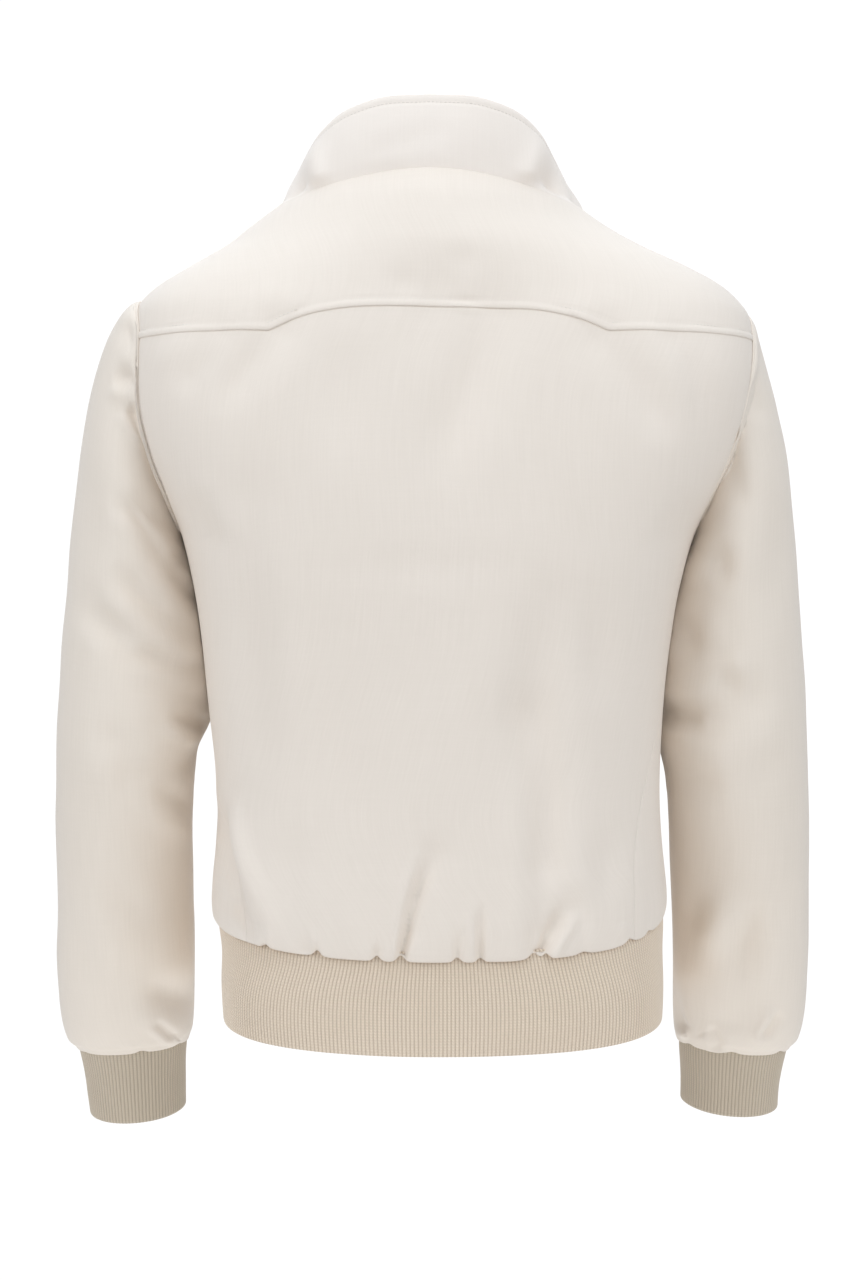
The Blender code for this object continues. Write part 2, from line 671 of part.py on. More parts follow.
def make_cloth():
    """All cloth pieces, cut back from their seams and built."""
    def on_body(places):
        return folded_body(places[..., 0], places[..., 1])

    pieces = [
        Cloth("back_panel", "body", on_body(back_panel_places()), CLOTH, CREAM),
        Cloth("back_yoke", "body", on_body(yoke_places()), CLOTH, CREAM),
        Cloth("front_left", "body", on_body(front_places("left")), CLOTH, CREAM, flip=True),
        Cloth("front_right", "body", on_body(mirrored(front_places("right"))), CLOTH, CREAM),
        Cloth("hem_rib", "body", on_body(rib_places()), RIB, RIB_BEIGE, flip=True),
        Cloth("collar", "collar", collar_points(), COLLAR_CLOTH, CREAM),
    ]
    for side in ("left", "right"):
        flip = side == "left"
        sleeve, cuff = sleeve_points(side, SLEEVE_ROWS), sleeve_points(side, CUFF_ROWS)
        pieces.append(Cloth(f"sleeve_{side}", "sleeve", sleeve, CLOTH, CREAM, True, flip))
        pieces.append(Cloth(f"cuff_{side}", "sleeve", cuff, RIB, RIB_BEIGE, True, flip))
    share_seam_normals(pieces)
    for piece in pieces:
        piece.inset()
        piece.build()
    return {piece.name: piece for piece in pieces}


def zip_edges(cloth):
    """The front edges beside the zip, lower edge of the rib to the neck: points, the next points
    inwards from the edge, and normals."""
    edges = {}
    for side, rib_column, rib_next in (("left", 0, 1), ("right", -1, -2)):
        rib, panel = cloth["hem_rib"], cloth[f"front_{side}"]
        edges[side] = [
            np.concatenate((a[::-1], b[1:])) for a, b in (
                (rib.seam_points[:, rib_column], panel.seam_points[:, -1]),
                (rib.seam_points[:, rib_next], panel.seam_points[:, -2]),
                (rib.own_normals[:, rib_column], panel.own_normals[:, -1]),
            )
        ]
    return edges


def make_tapes(edges):
    """The two woven tapes behind the front edges."""
    for side, (edge, inward, normals) in edges.items():
        along = inward - edge
        along /= np.linalg.norm(along, axis=-1)[:, None]
        depth = np.where(np.arange(len(edge)) < len(RIB_ROWS), RIB, CLOTH)[:, None] + SEAM_GAP
        near = CHAIN_HALF + SEAM_GAP - FRONT_EDGE
        grid = np.stack((
            edge + along * near - normals * depth,
            edge + along * (near + TAPE_WIDTH) - normals * depth,
        ), 1)
        both = np.stack((normals, normals), 1)
        build_wall(f"zip_tape_{side}", grid, both, TAPE_THICK, False, side == "right", TAPE_CREAM)


class ZipLine:
    """The line between the front edges, read by height."""

    def __init__(self, edges):
        left, right = edges["left"], edges["right"]
        self.points = (left[0] + right[0]) / 2
        self.normals = left[2] + right[2]
        self.normals[:, 0] = 0
        self.normals /= np.linalg.norm(self.normals, axis=-1)[:, None]

    def at(self, height):
        """Point and normal at a height."""
        heights = self.points[:, 2]
        point = np.array([np.interp(height, heights, self.points[:, i]) for i in range(3)])
        normal = np.array([np.interp(height, heights, self.normals[:, i]) for i in range(3)])
        return point, normal / np.linalg.norm(normal)

    def bar(self, name, low, high, proud, thick, colour):
        """A bar of the chain's width along the line between two heights."""
        inside = [z for z in self.points[:, 2] if low < z < high]
        places = [self.at(z) for z in (low, *inside, high)]
        across = np.array((CHAIN_HALF, 0, 0))
        grid = np.array([(p + n * proud - across, p + n * proud + across) for p, n in places])
        normals = np.array([(n, n) for _, n in places])
        build_wall(name, grid, normals, thick, False, False, colour)

    def frame(self, height, along, off):
        """A frame with its second axis up the zip and its third out of the jacket."""
        point, normal = self.at(height)
        step = SLIDER_LENGTH / 4
        up = Vector(self.at(height + step)[0] - self.at(height - step)[0]).normalized()
        out = Vector((1, 0, 0)).cross(up)
        origin = Vector(point) + up * along + out * off
        frame = Matrix(((1, 0, 0), up, out)).transposed().to_4x4()
        return Matrix.Translation(origin) @ frame


def add_frame(name, matrix):
    """An empty that carries a hard piece of the zip."""
    empty = bpy.data.objects.new(name, None)
    bpy.context.scene.collection.objects.link(empty)
    empty.matrix_world = matrix
    return empty


def extrude_outline(name, outline, axis, low, high, colour):
    """A prism: an outline in the two other axes, extruded along one axis."""
    mesh = bmesh.new()
    rings = []
    for level in (low, high):
        corners = [list(point) for point in outline]
        for corner in corners:
            corner.insert(axis, level)
        rings.append([mesh.verts.new(corner) for corner in corners])
    mesh.faces.new(rings[0])
    mesh.faces.new(rings[1][::-1])
    bmesh.ops.bridge_loops(mesh, edges=[edge for edge in mesh.edges])
    bmesh.ops.recalc_face_normals(mesh, faces=mesh.faces)
    return add_object(name, mesh, colour)


def combine(part, other, operation):
    """Join or cut a piece with another one, which stays out of the model."""
    other.hide_render = True
    other.display_type = "WIRE"
    change = part.modifiers.new(operation.title(), "BOOLEAN")
    change.operation = operation
    change.object = other


def make_slider(line):
    """The slider: a plate in front of the chain and one behind it, and a bridge for the tab."""
    front_in, front_out = PLATE_FRONT
    back_in, back_out = PLATE_BACK
    half = [
        (SLIDER_HALF, front_out),
        (SLIDER_HALF, front_in),
        (SLIDER_WEB, front_in),
        (SLIDER_WEB, back_out),
        (SLIDER_HALF, back_out),
        (SLIDER_HALF, back_in),
    ]
    outline = half + [(-x, off) for x, off in half[::-1]]
    reach = SLIDER_LENGTH / 2
    slider = extrude_outline("zip_slider", outline, 1, -reach, reach, NICKEL)
    sunk = (front_in + front_out) / 2
    inside = BRIDGE_REACH - BRIDGE_POST
    arch = [
        (-BRIDGE_REACH, sunk),
        (-BRIDGE_REACH, BRIDGE_TOP),
        (BRIDGE_REACH, BRIDGE_TOP),
        (BRIDGE_REACH, sunk),
        (inside, sunk),
        (inside, BRIDGE_INSIDE),
        (-inside, BRIDGE_INSIDE),
        (-inside, sunk),
    ]
    bridge = extrude_outline("bridge", arch, 0, -BRIDGE_HALF_WIDTH, BRIDGE_HALF_WIDTH, NICKEL)
    frame = add_frame("slider_frame", line.frame(SLIDER_CENTRE, 0, 0))
    slider.parent = frame
    bridge.parent = frame
    combine(slider, bridge, "UNION")


def make_pull_tab(line):
    """The pull tab, whose cross bar turns inside the bridge."""
    round_end = [
        (TAB_HALF_WIDTH * math.cos(a), TAB_HALF_WIDTH - TAB_LENGTH + TAB_HALF_WIDTH * math.sin(a))
        for a in np.linspace(0, -math.pi, 9)
    ]
    outline = [(-TAB_HALF_WIDTH, TAB_HALF_THICK), (TAB_HALF_WIDTH, TAB_HALF_THICK), *round_end]
    tab = extrude_outline("zip_pull_tab", outline, 2, -TAB_HALF_THICK, TAB_HALF_THICK, NICKEL)
    hole = [
        (-TAB_HOLE_HALF, -TAB_HALF_THICK),
        (TAB_HOLE_HALF, -TAB_HALF_THICK),
        (TAB_HOLE_HALF, -TAB_HOLE_END),
        (-TAB_HOLE_HALF, -TAB_HOLE_END),
    ]
    cutter = extrude_outline("tab_hole", hole, 2, -2 * TAB_HALF_THICK, 2 * TAB_HALF_THICK, NICKEL)
    axis = add_frame("pull_tab_axis", line.frame(SLIDER_CENTRE, TAB_PIVOT_ALONG, TAB_PIVOT_OFF))
    tab.parent = axis
    cutter.parent = axis
    combine(tab, cutter, "DIFFERENCE")


def make_zip(cloth):
    """The zip at centre front, closed up to the neck."""
    edges = zip_edges(cloth)
    make_tapes(edges)
    line = ZipLine(edges)
    low = line.points[0, 2]
    chain_low = low + BOX_HEIGHT + SEAM_GAP
    chain_high = SLIDER_CENTRE - SLIDER_LENGTH / 2 - SEAM_GAP
    line.bar("zip_chain", chain_low, chain_high, CHAIN_PROUD, CHAIN_THICK, NICKEL)
    line.bar("zip_box", low, low + BOX_HEIGHT, BOX_PROUD, BOX_THICK, NICKEL)
    make_slider(line)
    make_pull_tab(line)


def clear_scene():
    """Start from an empty scene."""
    for part in list(bpy.data.objects):
        bpy.data.objects.remove(part, do_unlink=True)


def main():
    """Build the jacket."""
    clear_scene()
    make_zip(make_cloth())


if __name__ == "__main__":
    main()
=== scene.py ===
"""Looks of the harrington jacket: cloth, knitted ribs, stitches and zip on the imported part.

Metres, +Z up, in the part's own frame: the front faces -Y and the wearer's left is +X. The body
pieces lie on one form of horizontal rings, where a place is an angle (0 at centre back, +90
degrees at the wearer's left) and a height. Each cloth piece is a thin shell on that form with its
creases, seams and gathers.
"""
import math

import bmesh
import bpy
import numpy as np
from mathutils import Matrix, Vector, kdtree

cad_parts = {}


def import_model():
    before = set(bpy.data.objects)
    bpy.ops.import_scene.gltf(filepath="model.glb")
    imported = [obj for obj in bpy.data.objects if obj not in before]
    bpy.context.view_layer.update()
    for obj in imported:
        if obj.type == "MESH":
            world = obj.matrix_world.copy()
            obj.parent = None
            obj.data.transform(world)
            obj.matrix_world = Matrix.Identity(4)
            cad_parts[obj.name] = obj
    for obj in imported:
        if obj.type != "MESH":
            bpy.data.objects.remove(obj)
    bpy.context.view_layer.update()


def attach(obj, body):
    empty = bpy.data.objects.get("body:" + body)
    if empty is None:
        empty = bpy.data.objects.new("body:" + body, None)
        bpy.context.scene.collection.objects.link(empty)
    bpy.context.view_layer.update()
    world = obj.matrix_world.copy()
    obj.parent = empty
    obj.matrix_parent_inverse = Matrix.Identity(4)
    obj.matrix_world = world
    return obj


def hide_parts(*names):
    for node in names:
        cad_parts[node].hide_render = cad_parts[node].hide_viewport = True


class Table:
    """Rows of named columns, read as smooth curves of the first column."""

    def __init__(self, names, rows):
        data = np.array(sorted(rows), float)
        self.at = data[:, 0]
        self.columns = dict(zip(names, data.T))

    def __call__(self, name, at):
        x, y = self.at, self.columns[name]
        slope = np.gradient(y, x)
        at = np.clip(at, x[0], x[-1])
        i = np.clip(np.searchsorted(x, at, side="right") - 1, 0, len(x) - 2)
        width = x[i + 1] - x[i]
        u = (at - x[i]) / width
        rise = u * u * (3 - 2 * u)
        bend = width * u * (1 - u) * ((1 - u) * slope[i] - u * slope[i + 1])
        return (1 - rise) * y[i] + rise * y[i + 1] + bend


SIGN = {"left": 1, "right": -1}   # of x, on the wearer's sides

# The part's form, as in its CAD source
RIB_HEIGHT = 0.0645
RIB_HEIGHT_BACK = 0.0025
YOKE_SIDE = -0.1238
YOKE_RISE = 0.0193
YOKE_MIDDLE = math.radians(0.7)
YOKE_CORNER = math.radians(25.8)
NECK_SIDE = -0.0205
NECK_FRONT = -0.0850
NECK_SCOOP = 0.8
SHOULDER_FORWARD = 0.0120
SHOULDER_TIP_FORWARD = math.radians(8)
ARMPIT = -0.2625
ARMHOLE_TOP = {"left": -0.0895, "right": -0.0990}
ARMHOLE_SWING_BACK = {"left": math.radians(26), "right": math.radians(27)}
ARMHOLE_SWING_FRONT = math.radians(24)
ARMHOLE_FULLNESS = {"left": 0.6, "right": -0.1}
HEM = -0.5620
HEM_DIP_BACK = 0.0155
HEM_DIP_FRONT = 0.0030
HEM_RAISE = Table(
    ("angle", "raise"),
    (
        (-180, 0.0000),
        (-140, 0.0040),
        (-110, 0.0140),
        (-90, 0.0175),
        (-70, 0.0120),
        (-50, 0.0062),
        (-30, 0.0044),
        (0, 0.0042),
        (30, 0.0045),
        (60, 0.0065),
        (90, 0.0100),
        (110, 0.0080),
        (140, 0.0030),
        (180, 0.0000),
    ),
)
FRONT_EDGE = 0.0045

BODY = Table(
    ("height", "half_width", "shift", "back", "front", "square"),
    (
        (0.0040, 0.0860, 0.0100, 0.0665, 0.0450, 0.00),
        (-0.0195, 0.1163, 0.0105, 0.0830, 0.0560, 0.00),
        (-0.0344, 0.1372, 0.0100, 0.0900, 0.0640, 0.00),
        (-0.0496, 0.1600, 0.0064, 0.0965, 0.0710, 0.01),
        (-0.0648, 0.1890, 0.0035, 0.1025, 0.0770, 0.02),
        (-0.0800, 0.2150, 0.0025, 0.1080, 0.0830, 0.03),
        (-0.0950, 0.2300, 0.0025, 0.1125, 0.0885, 0.04),
        (-0.1200, 0.2375, 0.0010, 0.1180, 0.0970, 0.05),
        (-0.1500, 0.2385, 0.0000, 0.1230, 0.1060, 0.06),
        (-0.1800, 0.2350, 0.0010, 0.1265, 0.1140, 0.06),
        (-0.2100, 0.2240, 0.0020, 0.1290, 0.1200, 0.06),
        (-0.2400, 0.2070, 0.0030, 0.1300, 0.1240, 0.06),
        (-0.2625, 0.1950, 0.0040, 0.1300, 0.1260, 0.06),
        (-0.3000, 0.1845, 0.0050, 0.1285, 0.1265, 0.06),
        (-0.3500, 0.1765, 0.0055, 0.1250, 0.1245, 0.05),
        (-0.4000, 0.1715, 0.0055, 0.1215, 0.1210, 0.05),
        (-0.4500, 0.1680, 0.0040, 0.1190, 0.1180, 0.05),
        (-0.5000, 0.1690, 0.0040, 0.1185, 0.1170, 0.05),
        (-0.5350, 0.1695, 0.0035, 0.1195, 0.1175, 0.05),
        (-0.5600, 0.1675, 0.0015, 0.1180, 0.1160, 0.05),
        (-0.5760, 0.1655, 0.0007, 0.1150, 0.1135, 0.06),
        (-0.6000, 0.1652, 0.0007, 0.1140, 0.1125, 0.08),
        (-0.6600, 0.1640, 0.0007, 0.1130, 0.1115, 0.08),
    ),
)

SIDE_SEAM = Table(
    ("height", "left", "right"),
    (
        (-0.2625, 90, 90),
        (-0.3500, 87, 84),
        (-0.4200, 80, 66),
        (-0.4650, 75, 56),
        (-0.5050, 63, 51),
        (-0.5400, 53, 50),
        (-0.5800, 50, 49),
    ),
)

SLEEVE_COLUMNS = ("row", "outer_x", "outer_z", "inner_x", "inner_z", "y", "half_depth", "tilt")
SLEEVE = {
    "left": Table(
        SLEEVE_COLUMNS,
        (
            (0, 0.2335, -0.0895, 0.1990, -0.2625, 0.000, 0.060, 0),
            (1, 0.2470, -0.1000, 0.2012, -0.2660, 0.000, 0.062, 0),
            (2, 0.2585, -0.1240, 0.2032, -0.2715, 0.000, 0.065, 0),
            (3, 0.2680, -0.1600, 0.2020, -0.2800, -0.001, 0.069, 0),
            (4, 0.2750, -0.2050, 0.1960, -0.2930, -0.003, 0.072, 0),
            (5, 0.2810, -0.2550, 0.1880, -0.3130, -0.006, 0.072, 1),
            (6, 0.2862, -0.3100, 0.1810, -0.3420, -0.009, 0.070, 3),
            (7, 0.2912, -0.3650, 0.1790, -0.3820, -0.012, 0.067, 6),
            (8, 0.2952, -0.4200, 0.1880, -0.4260, -0.016, 0.063, 9),
            (9, 0.2985, -0.4750, 0.1930, -0.4700, -0.030, 0.060, 12),
            (10, 0.3008, -0.5300, 0.1950, -0.5200, -0.048, 0.057, 14),
            (11, 0.3030, -0.5850, 0.1945, -0.5720, -0.066, 0.054, 14),
            (12, 0.3025, -0.6300, 0.1960, -0.6220, -0.084, 0.050, 12),
            (13, 0.2975, -0.6590, 0.1995, -0.6510, -0.095, 0.045, 8),
            (14, 0.2890, -0.6740, 0.2035, -0.6680, -0.100, 0.039, 5),
            (15, 0.2835, -0.7250, 0.2065, -0.7200, -0.115, 0.036, 11),
        ),
    ),
    "right": Table(
        SLEEVE_COLUMNS,
        (
            (0, 0.2300, -0.0990, 0.1910, -0.2625, 0.000, 0.060, 0),
            (1, 0.2370, -0.1130, 0.1932, -0.2660, 0.000, 0.062, 0),
            (2, 0.2440, -0.1340, 0.1952, -0.2715, 0.000, 0.065, 0),
            (3, 0.2525, -0.1680, 0.1935, -0.2800, -0.001, 0.069, 0),
            (4, 0.2600, -0.2050, 0.1870, -0.2930, -0.003, 0.072, 0),
            (5, 0.2655, -0.2550, 0.1790, -0.3130, -0.006, 0.072, 1),
            (6, 0.2705, -0.3100, 0.1710, -0.3420, -0.009, 0.070, 3),
            (7, 0.2750, -0.3650, 0.1670, -0.3820, -0.012, 0.067, 6),
            (8, 0.2785, -0.4200, 0.1680, -0.4260, -0.017, 0.063, 9),
            (9, 0.2818, -0.4750, 0.1745, -0.4700, -0.030, 0.060, 12),
            (10, 0.2843, -0.5300, 0.1775, -0.5200, -0.048, 0.057, 14),
            (11, 0.2868, -0.5850, 0.1810, -0.5720, -0.066, 0.054, 14),
            (12, 0.2873, -0.6300, 0.1840, -0.6220, -0.084, 0.050, 12),
            (13, 0.2830, -0.6590, 0.1870, -0.6510, -0.095, 0.045, 8),
            (14, 0.2750, -0.6740, 0.1895, -0.6680, -0.100, 0.039, 5),
            (15, 0.2700, -0.7195, 0.1920, -0.7145, -0.114, 0.036, 11),
        ),
    ),
}
SLEEVE_CLEAR = 0.0003
CLEAR_ROWS = 0.5
SLEEVE_END = 13.88
CUFF_START = 13.80
CUFF_END = 15
FIT_ROWS = 2.2
FIT_END = 8
BISECTIONS = 30
HUG_IN = 0.0120              # how far the sleeve presses in at the body's side
HUG_FORWARD = 0.0300         # and passes in front of it
YOKE_HOLLOW = 0.0105         # how far the cloth sinks under the shoulder blades

COLLAR_MIDDLE = 0.0100
COLLAR_CENTRE_Y = -0.0100
COLLAR_EDGE = Table(
    ("angle", "out", "y", "z"),
    (
        (0, 0.0000, 0.0670, 0.0550),
        (25, 0.0380, 0.0640, 0.0525),
        (42, 0.0640, 0.0530, 0.0448),
        (58, 0.0810, 0.0370, 0.0332),
        (75, 0.0925, 0.0080, 0.0215),
        (90, 0.1030, -0.0250, 0.0090),
        (110, 0.1175, -0.0640, -0.0080),
        (140, 0.1060, -0.0980, -0.0290),
        (180, 0.0520, -0.1130, -0.0490),
    ),
)
COLLAR_BELLY = 0.0025
# Soft corners and hollows round the collar, deepest at half its height.
# Columns: angle at the seam, angle at the edge, out, width in degrees.
COLLAR_CORNERS = (
    (49, 60, 0.0042, 5.5),
    (65, 79, -0.0115, 9.0),
    (-43, -57, 0.0042, 5.5),
    (-59, -75, -0.0120, 10.0),
    (88, 98, -0.0050, 13.0),
    (-85, -96, -0.0070, 14.0),
    (20, 24, 0.0012, 10.0),
)

# Low at the left side the cloth turns sharply forward along a line. Columns: height, across.
SIDE_FOLD = Table(
    ("height", "across"),
    (
        (-0.4500, 0.1740),
        (-0.4700, 0.1655),
        (-0.5020, 0.1570),
        (-0.5300, 0.1450),
        (-0.5600, 0.1300),
    ),
)
SIDE_DROP = 0.0160

# The largest folds, which the part's solids have too. Columns: face, x0, z0, x1, z1, depth, spread.
BODY_FOLDS = (
    ("back", -0.078, -0.320, -0.064, -0.400, -0.0030, 0.020),
    ("back", -0.064, -0.400, -0.074, -0.505, -0.0030, 0.016),
    ("back", 0.140, -0.250, 0.135, -0.420, -0.0025, 0.022),
    ("back", -0.088, -0.540, -0.066, -0.572, -0.0045, 0.012),
    ("back", 0.008, -0.500, 0.028, -0.572, -0.0035, 0.012),
    ("front", 0.070, -0.330, 0.060, -0.480, -0.0030, 0.020),
    ("front", -0.080, -0.300, -0.066, -0.450, -0.0030, 0.020),
)
SLEEVE_RADIUS = 0.055
SLEEVE_ROW_HEIGHT = 0.050
# Columns: side, angle0, row0, angle1, row1, depth, spread.
SLEEVE_FOLDS = (
    ("left", 95, 4.2, 140, 5.2, -0.0050, 0.016),
    ("left", 60, 6.1, 150, 7.3, -0.0050, 0.016),
    ("left", 100, 8.3, 170, 8.2, -0.0040, 0.014),
    ("right", 80, 7.2, 150, 7.4, -0.0050, 0.016),
    ("right", 60, 10.2, 100, 12.2, -0.0040, 0.018),
    ("left", 230, 6.6, 290, 7.6, -0.0040, 0.018),
    ("right", 230, 6.4, 290, 7.4, -0.0040, 0.018),
)

# Creases, seen from behind or in front: a curve through three points, its depth, its width at
# both ends, how open each end is (0 fades out, 1 runs into a seam) and how far it leans: its
# ridge stands on one side of it.
# Columns: x0, z0, x1, z1, x2, z2, depth, width0, width1, open0, open1, lean.
BACK_CREASES = (
    (-0.087, -0.530, -0.078, -0.552, -0.066, -0.572, 0.0052, 0.0060, 0.0030, 0, 1, -0.9),
    (-0.095, -0.528, -0.083, -0.545, -0.074, -0.566, -0.0013, 0.0080, 0.0050, 0, 1, 0),
    (0.003, -0.494, 0.020, -0.530, 0.030, -0.574, 0.0038, 0.0058, 0.0028, 0, 1, 0.8),
    (0.024, -0.545, 0.028, -0.562, 0.036, -0.576, 0.0020, 0.0040, 0.0030, 0, 1, 0.4),
    (-0.027, -0.530, -0.026, -0.552, -0.026, -0.576, 0.0028, 0.0036, 0.0024, 0, 1, 0.6),
    (-0.014, -0.548, -0.011, -0.563, -0.009, -0.576, 0.0020, 0.0040, 0.0026, 0, 1, -0.5),
    (0.047, -0.560, 0.048, -0.569, 0.048, -0.576, 0.0016, 0.0045, 0.0030, 0, 1, 0.3),
    (0.104, -0.556, 0.097, -0.567, 0.090, -0.575, 0.0022, 0.0050, 0.0026, 0, 1, -0.7),
    (0.130, -0.562, 0.128, -0.569, 0.126, -0.574, 0.0011, 0.0050, 0.0030, 0, 1, 0),
    (-0.073, -0.560, -0.073, -0.568, -0.073, -0.575, 0.0014, 0.0040, 0.0030, 0, 1, 0),
    (-0.126, -0.548, -0.130, -0.556, -0.134, -0.566, -0.0013, 0.0060, 0.0040, 0, 1, 0),
    (-0.077, -0.310, -0.064, -0.400, -0.076, -0.505, 0.0038, 0.0170, 0.0150, 0, 0, 0.5),
    (-0.105, -0.290, -0.111, -0.350, -0.116, -0.400, 0.0030, 0.0140, 0.0160, 0, 0, -0.5),
    (-0.040, -0.350, -0.036, -0.420, -0.044, -0.500, 0.0023, 0.0220, 0.0200, 0, 0, 0.5),
    (0.149, -0.249, 0.142, -0.346, 0.138, -0.451, 0.0038, 0.0150, 0.0140, 0, 0, -0.5),
    (0.120, -0.126, 0.143, -0.155, 0.166, -0.190, 0.0042, 0.0120, 0.0140, 0.6, 0, 0.5),
    (0.160, -0.130, 0.178, -0.152, 0.196, -0.172, 0.0034, 0.0110, 0.0110, 0.4, 0, 0.5),
    (-0.038, -0.112, -0.014, -0.174, 0.008, -0.250, 0.0038, 0.0140, 0.0200, 0.5, 0, -0.5),
    (0.070, -0.118, 0.072, -0.170, 0.066, -0.240, 0.0025, 0.0200, 0.0240, 0, 0, 0.4),
    (-0.113, -0.132, -0.145, -0.172, -0.158, -0.214, 0.0042, 0.0130, 0.0150, 0.5, 0, -0.6),
    (-0.165, -0.132, -0.182, -0.165, -0.190, -0.210, 0.0027, 0.0100, 0.0120, 0.4, 0, -0.4),
    (0.117, -0.292, 0.010, -0.294, -0.095, -0.288, 0.0007, 0.0100, 0.0120, 0, 0, 0.4),
    (0.060, -0.340, 0.072, -0.420, 0.066, -0.500, 0.0025, 0.0240, 0.0220, 0, 0, -0.4),
    (0.100, -0.470, 0.112, -0.520, 0.104, -0.560, 0.0025, 0.0140, 0.0100, 0, 0, 0.4),
    (0.1680, -0.452, 0.1605, -0.502, 0.1390, -0.552, 0.0100, 0.0072, 0.0070, 0, 0.4, -1.0),
    (-0.084, -0.400, -0.075, -0.480, -0.068, -0.566, 0.0034, 0.0130, 0.0080, 0, 0.5, 0.5),
    (0.010, -0.330, 0.018, -0.400, 0.010, -0.470, 0.0019, 0.0240, 0.0220, 0, 0, 0.3),
    (-0.125, -0.470, -0.118, -0.510, -0.122, -0.548, 0.0023, 0.0120, 0.0090, 0, 0, 0.4),
    (0.044, -0.092, 0.030, -0.086, 0.017, -0.080, 0.0011, 0.0090, 0.0080, 0, 0, 0.6),
    (-0.002, -0.077, -0.014, -0.070, -0.028, -0.062, 0.0011, 0.0090, 0.0080, 0, 0, 0.6),
    (-0.001, -0.097, -0.016, -0.099, -0.034, -0.101, 0.0010, 0.0030, 0.0030, 0, 0, 0.9),
    (0.180, -0.252, 0.172, -0.268, 0.166, -0.290, 0.0037, 0.0090, 0.0100, 0.6, 0, 0),
    (-0.176, -0.252, -0.168, -0.268, -0.162, -0.290, 0.0025, 0.0090, 0.0100, 0.6, 0, 0),
)
FRONT_CREASES = (
    (0.082, -0.528, 0.074, -0.548, 0.060, -0.565, 0.0032, 0.0070, 0.0034, 0, 1, 0.7),
    (-0.060, -0.500, -0.070, -0.535, -0.078, -0.565, 0.0028, 0.0080, 0.0036, 0, 1, -0.6),
    (0.036, -0.530, 0.038, -0.548, 0.038, -0.565, 0.0018, 0.0044, 0.0028, 0, 1, 0.5),
    (-0.030, -0.538, -0.032, -0.552, -0.032, -0.565, 0.0016, 0.0044, 0.0028, 0, 1, -0.5),
    (0.112, -0.536, 0.110, -0.550, 0.106, -0.565, 0.0015, 0.0050, 0.0030, 0, 1, 0.4),
    (-0.108, -0.532, -0.108, -0.548, -0.104, -0.565, 0.0015, 0.0050, 0.0030, 0, 1, 0),
    (0.072, -0.300, 0.062, -0.390, 0.064, -0.490, 0.0034, 0.0180, 0.0150, 0, 0, 0.5),
    (-0.084, -0.290, -0.072, -0.370, -0.064, -0.460, 0.0034, 0.0170, 0.0160, 0, 0, -0.5),
    (0.110, -0.340, 0.116, -0.410, 0.106, -0.480, 0.0022, 0.0190, 0.0160, 0, 0, 0.4),
    (-0.120, -0.330, -0.118, -0.400, -0.112, -0.470, 0.0022, 0.0180, 0.0160, 0, 0, -0.4),
    (0.150, -0.150, 0.128, -0.190, 0.112, -0.240, 0.0037, 0.0130, 0.0160, 0.3, 0, 0.5),
    (-0.150, -0.154, -0.130, -0.196, -0.116, -0.250, 0.0034, 0.0130, 0.0160, 0.3, 0, -0.5),
    (0.176, -0.210, 0.150, -0.232, 0.126, -0.262, 0.0034, 0.0110, 0.0130, 0.6, 0, 0.6),
    (-0.172, -0.216, -0.150, -0.240, -0.128, -0.276, 0.0034, 0.0110, 0.0130, 0.6, 0, -0.6),
    (0.060, -0.120, 0.050, -0.180, 0.034, -0.230, 0.0022, 0.0160, 0.0180, 0, 0, 0.4),
    (-0.058, -0.118, -0.050, -0.170, -0.036, -0.225, 0.0022, 0.0150, 0.0180, 0, 0, -0.4),
    (0.026, -0.260, 0.022, -0.340, 0.024, -0.420, 0.0017, 0.0120, 0.0120, 0, 0, 0.4),
    (-0.024, -0.250, -0.026, -0.330, -0.022, -0.400, 0.0017, 0.0120, 0.0120, 0, 0, -0.4),
)
